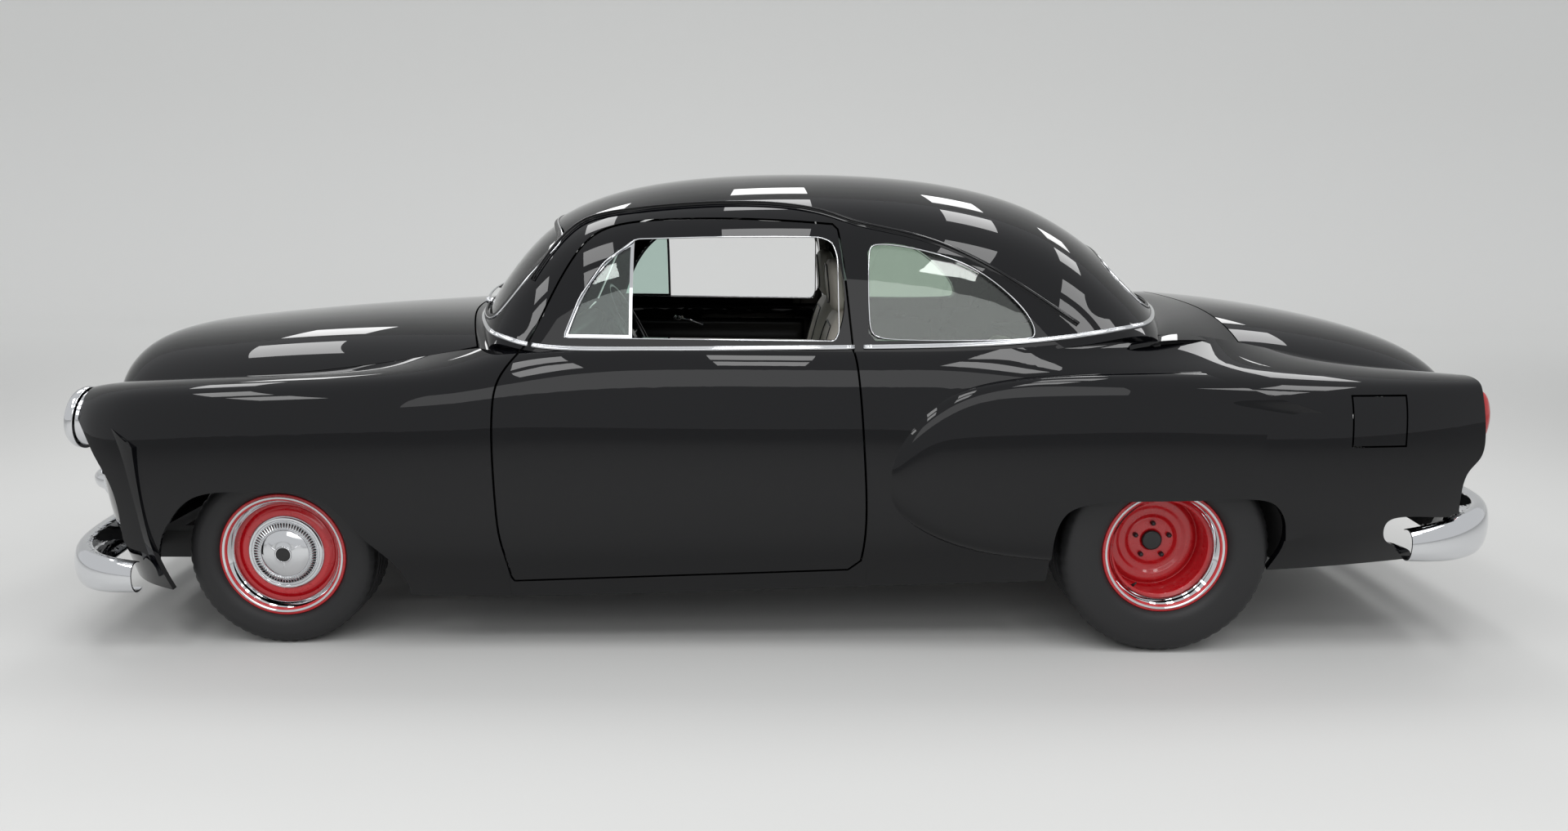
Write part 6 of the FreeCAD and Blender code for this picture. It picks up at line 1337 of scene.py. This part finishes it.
class COUPE_OT_stage(CoupeOperator, bpy.types.Operator):
    """A pale studio with soft lamps, and the camera."""

    bl_idname = "coupe.stage"
    bl_label = "Stage and camera"

    def build(self, context):
        self.floor()
        self.world(context)
        self.lamps(context)
        self.camera(context)

    def floor(self):
        """A pale floor that curves up into a wall behind, with painted light: the floor coloured darker and
        the wall lighter, as if lamps lit the wall more.
        """
        rise = np.linspace(0, np.pi / 2, 24)
        y = np.concatenate([[STUDIO_HALF], WALL_Y - WALL_CURVE * np.sin(rise), [WALL_Y - WALL_CURVE]])
        z = np.concatenate([[0.0], WALL_CURVE - WALL_CURVE * np.cos(rise), [WALL_TOP]])
        points = np.stack([np.repeat((-STUDIO_HALF, STUDIO_HALF), len(y)), np.tile(y, 2), np.tile(z, 2)], -1)
        graph = Graph("studio")
        across = graph.add("ShaderNodeSeparateXYZ", None, {"Vector": graph.coordinates()})["Y"]
        # Painted light: the colour runs from 0.60 on the floor up to y = -2 to 0.90 from WALL_Y on, standing
        # in for a wall lit more brightly than the floor.
        shade = graph.add("ShaderNodeMapRange", {"interpolation_type": "SMOOTHSTEP"}, {
            "Value": across, "From Min": -2.0, "From Max": WALL_Y, "To Min": 0.60, "To Max": 0.90})["Result"]
        painted_light_tone = graph.add("ShaderNodeCombineColor", None, {
            "Red": shade, "Green": shade, "Blue": shade * 0.985})["Color"]
        pale = graph.finish(graph.principled(Base_Color=painted_light_tone, Roughness=0.8))
        linked("studio", smooth_mesh("studio", points, grid_faces(2, len(y)), pale))

    def world(self, context):
        """A soft pale surround."""
        world = bpy.data.worlds.new("studio_world")
        context.scene.world = world
        world.use_nodes = True
        background = world.node_tree.nodes["Background"]
        background.inputs["Color"].default_value = (0.80, 0.81, 0.82, 1)
        background.inputs["Strength"].default_value = 0.80

    def lamps(self, context):
        """Rows of ceiling panels, as the photo's paint mirrors them, and one large soft panel in front."""
        fittings = [
            (f"panel_{row + 1}_{column + 1}", (x, y, PANEL_Z), (x, y, 0), 0.66, 1.25, 16)
            for row, y in enumerate(PANEL_ROWS) for column, x in enumerate(PANEL_COLUMNS)]
        fittings.append(("panel_soft", (0.0, 7.5, 4.0), (0, 0, 0.8), 7.0, 2.2, 60))
        for name, place_at, aim, wide, deep, power in fittings:
            lamp = bpy.data.lights.new(name, "AREA")
            lamp.shape = "RECTANGLE"
            lamp.size = wide
            lamp.size_y = deep
            lamp.energy = power
            direction = np.array(aim) - np.array(place_at)
            thing = linked(name, lamp)
            thing.location = place_at
            thing.rotation_euler = (
                math.atan2(math.hypot(direction[0], direction[1]), -direction[2]), 0,
                math.atan2(-direction[0], direction[1]))

    def camera(self, context):
        """The photograph's place and angle."""
        data = bpy.data.cameras.new("camera")
        data.sensor_width = 36.0
        data.lens = 36.0 * FOCAL_PIXELS / PHOTO_WIDTH
        data.shift_x = (960 - VIEW_CENTRE[0]) / PHOTO_WIDTH
        data.shift_y = (VIEW_CENTRE[1] - 508.5) / PHOTO_WIDTH
        ahead = np.array([
            math.sin(YAW) * math.cos(PITCH), -math.cos(YAW) * math.cos(PITCH), -math.sin(PITCH)])
        right = np.array([-math.cos(YAW), -math.sin(YAW), 0.0])
        up = np.cross(right, ahead)
        matrix = np.eye(4)
        matrix[:3, 0] = math.cos(ROLL) * right + math.sin(ROLL) * up
        matrix[:3, 1] = math.cos(ROLL) * up - math.sin(ROLL) * right
        matrix[:3, 2] = -ahead
        matrix[:3, 3] = CAMERA_PLACE
        thing = linked("camera", data)
        thing.matrix_world = Matrix(matrix.tolist())
        context.scene.camera = thing


# Seats: centre lines as station and height shares, from the CAD seats' side outline
BACK_LINE = ((0.6080, 0.318), (0.6130, 0.400), (0.6210, 0.500), (0.6310, 0.590), (0.6395, 0.655),
             (0.6430, 0.706))
HEAD_LINE = ((0.6400, 0.692), (0.6365, 0.725), (0.6325, 0.765), (0.6320, 0.811))
CUSHION_LINE = ((0.4315, 0.3300), (0.4700, 0.3330), (0.5200, 0.3300), (0.5700, 0.3240), (0.6120, 0.3230))
REAR_BACK_LINE = ((0.8600, 0.362), (0.8700, 0.420), (0.8800, 0.500), (0.8905, 0.598))
REAR_CUSHION_LINE = ((0.7300, 0.3350), (0.7600, 0.3420), (0.8100, 0.3430), (0.8500, 0.3360))
PIPING_RADIUS = 0.0030
PIPING_LIFT = 0.0012
CLOTH_PRESSURE = 4.0
CLOTH_FRAMES = 20
SEAT_Y = 0.350
SEAT_HALF = 0.245
REAR_HALF = 0.555


def side_line(shares):
    """Points of the middle plane, in metres, from station and height shares."""
    shares = np.asarray(shares, float)
    return np.stack([station(shares[:, 0]), np.zeros(len(shares)), shares[:, 1] * ROOF_HEIGHT], -1)


def signed_power(values, power):
    """The values to that power, with their signs."""
    return np.sign(values) * np.abs(values) ** power


def pad_points(line, half, depth, rows, around, square, taper, shape):
    """A closed pad: C(s) + Y w(s) c(q) + N(s) d(s) e(q) f(s, c, e), where c and e are the cosine and sine
    of q to the power 2/square with their signs, w = half taper(s) k(s), d = depth(s) k(s),
    k = (1 - |2s - 1|^6)^(1/3) closes the ends, and f shapes the face."""
    s = (1 - np.cos(np.linspace(0, np.pi, rows))) / 2
    middle = basis(len(line), s)[0] @ side_line(line)
    ahead = directions(middle)
    out = np.stack([ahead[:, 2], np.zeros(rows), -ahead[:, 0]], -1)
    close = np.maximum(1 - np.abs(2 * s - 1) ** 6, 0) ** (1 / 3)
    q = np.linspace(0, 2 * np.pi, around, endpoint=False)
    c = signed_power(np.cos(q), 2 / square)
    e = signed_power(np.sin(q), 2 / square)
    wide = (half * taper(s) * close)[:, None] * c
    deep = (depth(s) * close)[:, None] * e * shape(s[:, None], c[None], e[None])
    return middle[:, None] + wide[..., None] * (0, 1, 0) + deep[..., None] * out[:, None]


def pad(name, line, half, depth, square, taper, shape, rows=64, around=96):
    """A pad's mesh in the middle plane, its end rows merged and its faces outwards."""
    points = pad_points(line, half, depth, rows, around, square, taper, shape)
    mesh = bpy.data.meshes.new(name)
    mesh.from_pydata(points.reshape(-1, 3).tolist(), [], grid_faces(rows, around, False, True).tolist())
    work = bmesh.new()
    work.from_mesh(mesh)
    bmesh.ops.remove_doubles(work, verts=work.verts, dist=MM * 0.05)
    bmesh.ops.recalc_face_normals(work, faces=work.faces)
    work.to_mesh(mesh)
    work.free()
    return linked(name, mesh)


def applied(piece):
    """The piece with its modifiers worked into its mesh."""
    shown = piece.evaluated_get(bpy.context.evaluated_depsgraph_get())
    mesh = bpy.data.meshes.new_from_object(shown)
    old = piece.data
    piece.modifiers.clear()
    piece.data = mesh
    bpy.data.meshes.remove(old)


def swollen(piece, voxel, reach):
    """The pad remeshed and blown up by cloth under pressure; no point moves further than reach."""
    remesh = piece.modifiers.new("remesh", "REMESH")
    remesh.mode = "VOXEL"
    remesh.voxel_size = voxel
    applied(piece)
    start = mesh_values(piece.data.vertices, "co")
    cloth = piece.modifiers.new("cloth", "CLOTH")
    cloth.settings.quality = 4
    cloth.settings.use_pressure = True
    cloth.settings.uniform_pressure_force = CLOTH_PRESSURE
    cloth.settings.effector_weights.gravity = 0.0
    scene = bpy.context.scene
    for number in range(1, CLOTH_FRAMES + 1):
        scene.frame_set(number)
    shown = piece.evaluated_get(bpy.context.evaluated_depsgraph_get())
    end = mesh_values(shown.data.vertices, "co")
    piece.modifiers.clear()
    scene.frame_set(1)
    move = end - start
    move -= move.mean(0)
    far = np.maximum(np.linalg.norm(move, axis=1, keepdims=True), 1e-9)
    end = start + move * np.minimum(1, reach / far)
    piece.data.vertices.foreach_set("co", end.ravel())
    piece.data.update()


def seat_copy(piece, name, centre_y, sign):
    """The pad in its seat: a copy moved out from the middle, turned over for the right side."""
    mesh = piece.data.copy()
    points = mesh_values(mesh.vertices, "co") * (1, sign, 1) + (0, centre_y, 0)
    mesh.vertices.foreach_set("co", points.ravel())
    if sign < 0:
        mesh.flip_normals()
    mesh.update()
    smooth(mesh)
    mesh.materials.clear()
    mesh.materials.append(MATERIALS["leather"])
    copy = linked(name, mesh)
    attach(copy, "car")
    return copy


def tube(name, path, radius, look, body, closed=False, sides=10, flat=1.0):
    """A round bar along a path: P(s) + r (A(s) cos q + B(s) flat sin q), A and B square to the path."""
    ahead = directions(path, closed)
    plane = np.linalg.svd(path - path.mean(0), full_matrices=False)[2][-1]
    a = unit(np.cross(ahead, plane))
    b = np.cross(ahead, a)
    q = np.linspace(0, 2 * np.pi, sides, endpoint=False)
    size_here = np.broadcast_to(np.asarray(radius, float), (len(path),))[:, None, None]
    points = path[:, None] + size_here * (
        np.cos(q)[None, :, None] * a[:, None] + flat * np.sin(q)[None, :, None] * b[:, None])
    return mesh_piece(name, points, ring_faces(len(path), sides, closed), look, body)


def on_pad(piece, line, lift):
    """A smooth line laid on a pad: each point goes along the nearest vertex's normal to its height, then the
    row is averaged with its neighbours and lifted."""
    points = mesh_values(piece.data.vertices, "co")
    normals = mesh_values(piece.data.vertices, "normal")
    nearest = ((line[:, None] - points[None]) ** 2).sum(-1).argmin(1)
    normal = normals[nearest]
    height = ((points[nearest] - line) * normal).sum(1)
    laid = line + normal * height[:, None]
    for _ in range(3):
        laid[1:-1] = (laid[:-2] + 2 * laid[1:-1] + laid[2:]) / 4
    return laid + normal * lift


class COUPE_OT_seats(CoupeOperator, bpy.types.Operator):
    """Padded high-back front seats with headrests and black piping, and the padded rear bench."""

    bl_idname = "coupe.seats"
    bl_label = "Seats"

    def build(self, context):
        voxel = self.settings(context).seat_voxel

        def insert(s, c, e):
            """On the face, side bolsters stand 35% proud of a middle with seven sewn channels, 3% deep."""
            bolster = 0.35 * np.exp(-((np.abs(c) - 0.80) / 0.15) ** 2)
            channels = 0.03 * np.cos(2 * np.pi * 7 * s) * (np.abs(c) < 0.62)
            return 1 + (e > 0) * (bolster - channels)

        back = pad("seat_back", BACK_LINE, SEAT_HALF, lambda s: 0.044 - 0.012 * s, 3.4,
                   lambda s: 1 - 0.16 * s ** 2.2, insert, 84, 120)
        swollen(back, voxel, 0.010)
        head = pad("seat_head", HEAD_LINE, 0.128, lambda s: 0.036 + 0 * s, 2.6,
                   lambda s: 1 - 0.10 * np.abs(2 * s - 0.9) ** 3, lambda s, c, e: 1 + 0 * s, 48, 72)
        swollen(head, voxel, 0.008)
        cushion = pad("seat_cushion", CUSHION_LINE, SEAT_HALF, lambda s: 0.056 - 0.006 * s, 3.6,
                      lambda s: 1 - 0.05 * (1 - s) ** 3, insert, 84, 120)
        swollen(cushion, voxel, 0.010)
        for sign, word in SIDES:
            pieces = [seat_copy(piece, name + word, sign * SEAT_Y, sign) for piece, name in (
                (back, "seat_back_"), (head, "headrest_"), (cushion, "seat_cushion_"))]
            if word == "left":
                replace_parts(pieces[0], "front_seats")
            self.piping(word, sign * SEAT_Y, pieces)
            self.base(word, sign * SEAT_Y)
        for piece in (back, head, cushion):
            bpy.data.objects.remove(piece)
        self.bench(voxel)

    def piping(self, word, centre, pieces):
        """Black piping: round the headrest's face, and round the middle panels of back and cushion."""
        back, head, cushion = pieces
        q = np.linspace(0, 2 * np.pi, 120, endpoint=False)
        at = side_line(((0.6325, 0.752),))[0]
        loop = np.stack([np.full(120, at[0] + 0.04), centre + 0.088 * signed_power(np.cos(q), 0.75),
                         at[2] + 0.072 * signed_power(np.sin(q), 0.75)], -1)
        self.cord("headrest_piping_" + word, head, loop, True)
        t = np.linspace(-1, 1, 160)
        width = 0.152 * np.sign(t) * np.minimum(1, (1 - (1 - np.abs(t)) ** 3.2))
        rise = np.clip((1 - np.abs(t)) / 0.72, 0, 1)
        s = 0.07 + 0.83 * (1 - (1 - rise) ** 2.2)
        middle = basis(len(BACK_LINE), s)[0] @ side_line(BACK_LINE)
        loop = middle + np.stack([np.full(160, 0.05), centre + width, np.zeros(160)], -1)
        self.cord("back_piping_" + word, back, loop, False)
        s = 0.93 - 0.83 * (1 - (1 - rise) ** 2.2)
        middle = basis(len(CUSHION_LINE), s)[0] @ side_line(CUSHION_LINE)
        loop = middle + np.stack([np.zeros(160), centre + width, np.full(160, 0.06)], -1)
        self.cord("cushion_piping_" + word, cushion, loop, False)

    def cord(self, name, piece, line, closed):
        """One line of piping on a pad."""
        tube(name, on_pad(piece, line, PIPING_LIFT), PIPING_RADIUS, "piping", "car", closed, 8)

    def base(self, word, centre):
        """The plain black skirt under a cushion: a rounded box, |x/a|^8 + |y/b|^8 = 1 in plan, drawn in at
        its foot."""
        q = np.linspace(0, 2 * np.pi, 96, endpoint=False)
        front_x, rear_x = station((0.4330, 0.6180))
        rings = np.array([(0.0, 0.330), (0.93, 0.330), (0.955, 0.335), (0.985, 0.400), (0.985, 0.485),
                          (0.90, 0.492), (0.0, 0.492)])
        ring_x = 0.5 * (front_x - rear_x) * signed_power(np.cos(q), 2 / 8)
        ring_y = (SEAT_HALF - 0.012) * signed_power(np.sin(q), 2 / 8)
        points = np.stack([
            0.5 * (front_x + rear_x) + rings[:, 0, None] * ring_x, centre + rings[:, 0, None] * ring_y,
            np.repeat(rings[:, 1, None], 96, 1)], -1)
        faces = grid_faces(len(rings), 96, False, True, True)
        mesh_piece("seat_base_" + word, points, faces, "vinyl", "car")

    def bench(self, voxel):
        """The rear bench's back and cushion."""
        def places(s, c, e):
            """On the face, two places 10% proud across the width, with nine sewn channels along them."""
            channels = 0.05 * np.cos(2 * np.pi * 9 * s) * (np.abs(np.abs(c) - 0.5) < 0.30)
            return 1 - (e > 0) * (0.10 * np.cos(2 * np.pi * c) + channels)

        back = pad("bench_back", REAR_BACK_LINE, REAR_HALF, lambda s: 0.040 - 0.010 * s, 4.5,
                   lambda s: 1 - 0.03 * s ** 3, places, 64, 160)
        swollen(back, voxel * 1.3, 0.008)
        cushion = pad("bench_cushion", REAR_CUSHION_LINE, REAR_HALF, lambda s: 0.060 - 0.006 * s, 4.5,
                      lambda s: 1 + 0 * s, places, 64, 160)
        swollen(cushion, voxel * 1.3, 0.008)
        for piece, name in ((back, "rear_back"), (cushion, "rear_cushion")):
            copy = seat_copy(piece, name, 0.0, 1)
            if name == "rear_cushion":
                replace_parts(copy, "rear_seat")
            bpy.data.objects.remove(piece)


DOOR_WALL = 0.085
CARD_STEPS = (46, 40)


class COUPE_OT_cabin(CoupeOperator, bpy.types.Operator):
    """Door cards with their levers, and the dash's dials."""

    bl_idname = "coupe.cabin"
    bl_label = "Cabin trim"

    def build(self, context):
        for sign, word in SIDES:
            self.card(sign, word)
        self.dials()

    def card(self, sign, word):
        """A door card: the body side, set in by DOOR_WALL and raised by 5 mm, with a sunk border line, a
        rolled top and its lever."""
        x = np.linspace(0.80, -0.10, CARD_STEPS[0])
        z = np.linspace(0.33, 0.93, CARD_STEPS[1])
        u = np.linspace(0, 1, CARD_STEPS[0])[:, None]
        v = np.linspace(0, 1, CARD_STEPS[1])[None]
        edge = np.minimum(np.minimum(u, 1 - u) * 0.90, np.minimum(v, 1 - v) * 0.60)
        raised = 0.005 * np.clip(edge / 0.006, 0, 1) - 0.0035 * np.exp(-((edge - 0.035) / 0.0035) ** 2)
        raised = raised + 0.012 * np.exp(-((v - 0.86) / 0.045) ** 2) * np.clip(edge / 0.02, 0, 1)
        grid = np.stack(np.meshgrid(x, z, indexing="ij"), -1).reshape(-1, 2)
        start = np.stack([grid[:, 0], np.full(len(grid), 0.9), grid[:, 1]], -1)
        points, _ = on_surface(side, start, 1, 6)
        points[:, 1] -= DOOR_WALL + raised.reshape(-1)
        points = points.reshape(*CARD_STEPS, 3) * (1, sign, 1)
        back = points.copy()
        back[..., 1] += sign * (raised + 0.001)
        lofted("door_card_" + word, np.concatenate([points, back[:, ::-1]], 1), "vinyl", "door_" + word)
        foot = np.array((0.478, points[17, 27, 1] - sign * 0.012, 0.940))
        axis = (0, -sign, 0)
        rose = [(0.0, 0.016), (0.010, 0.016), (0.013, 0.012), (0.020, 0.008), (0.026, 0.003),
                (0.026, -0.004), (0.0, -0.004)]
        turned_piece("lever_rose_" + word, eased(rose, 0.002), 48, foot, axis, "chrome", "door_" + word)
        s = np.linspace(0, 1, 24)[:, None]
        tip = foot + np.array((-0.112, -sign * 0.030, -0.030))
        bow = np.array((0, -sign * 0.012, 0.006)) * np.sin(np.pi * s)
        path = foot + (0, -sign * 0.014, 0) + (tip - foot) * s + bow
        thick = 0.0048 + 0.0030 * np.sin(np.pi * np.clip(s[:, 0] * 1.15, 0, 1)) ** 2
        tube("lever_" + word, path, thick, "chrome", "door_" + word, False, 12, 0.6)

    def dials(self):
        """Two plain round dials on the dash in front of the driver."""
        axis = np.array((-0.93, 0, 0.37))
        for number, y in enumerate((0.30, 0.44), 1):
            foot = np.array((float(station(0.2955)), y, 0.940))
            ring = eased_loop([(0.044, -0.004), (0.056, -0.004), (0.055, 0.004), (0.050, 0.008),
                               (0.045, 0.005)], 0.002)
            turned_piece(f"dial_ring_{number}", ring, 60, foot, axis, "chrome", "car", None, True)
            face = [(0.0, 0.002), (0.030, 0.0022), (0.045, 0.001), (0.045, -0.003), (0.0, -0.003)]
            turned_piece(f"dial_face_{number}", face, 60, foot, axis, "dial", "car")


OPERATORS = (
    COUPE_OT_finishes, COUPE_OT_panels, COUPE_OT_tyres, COUPE_OT_wheels, COUPE_OT_hub_caps, COUPE_OT_lamps,
    COUPE_OT_mouldings, COUPE_OT_windshield, COUPE_OT_seats, COUPE_OT_cabin, COUPE_OT_stage,
)


class COUPE_PT_panel(bpy.types.Panel):
    """The coupe's operators."""

    bl_idname = "COUPE_PT_panel"
    bl_label = "Coupe"
    bl_space_type = "VIEW_3D"
    bl_region_type = "UI"
    bl_category = "Coupe"

    def draw(self, context):
        for name in CoupeSettings.__annotations__:
            self.layout.prop(context.scene.coupe_looks, name)
        for operator in OPERATORS:
            self.layout.operator(operator.bl_idname)


CLASSES = (CoupeSettings,) + OPERATORS + (COUPE_PT_panel,)


def register():
    for kind in CLASSES:
        bpy.utils.register_class(kind)
    bpy.types.Scene.coupe_looks = bpy.props.PointerProperty(type=CoupeSettings)


def unregister():
    del bpy.types.Scene.coupe_looks
    for kind in reversed(CLASSES):
        bpy.utils.unregister_class(kind)


def main():
    """Run every operator in order."""
    register()
    bpy.context.scene.view_settings.view_transform = "Standard"
    for operator in OPERATORS:
        group, name = operator.bl_idname.split(".")
        getattr(getattr(bpy.ops, group), name)()


if __name__ == "__main__":
    main()
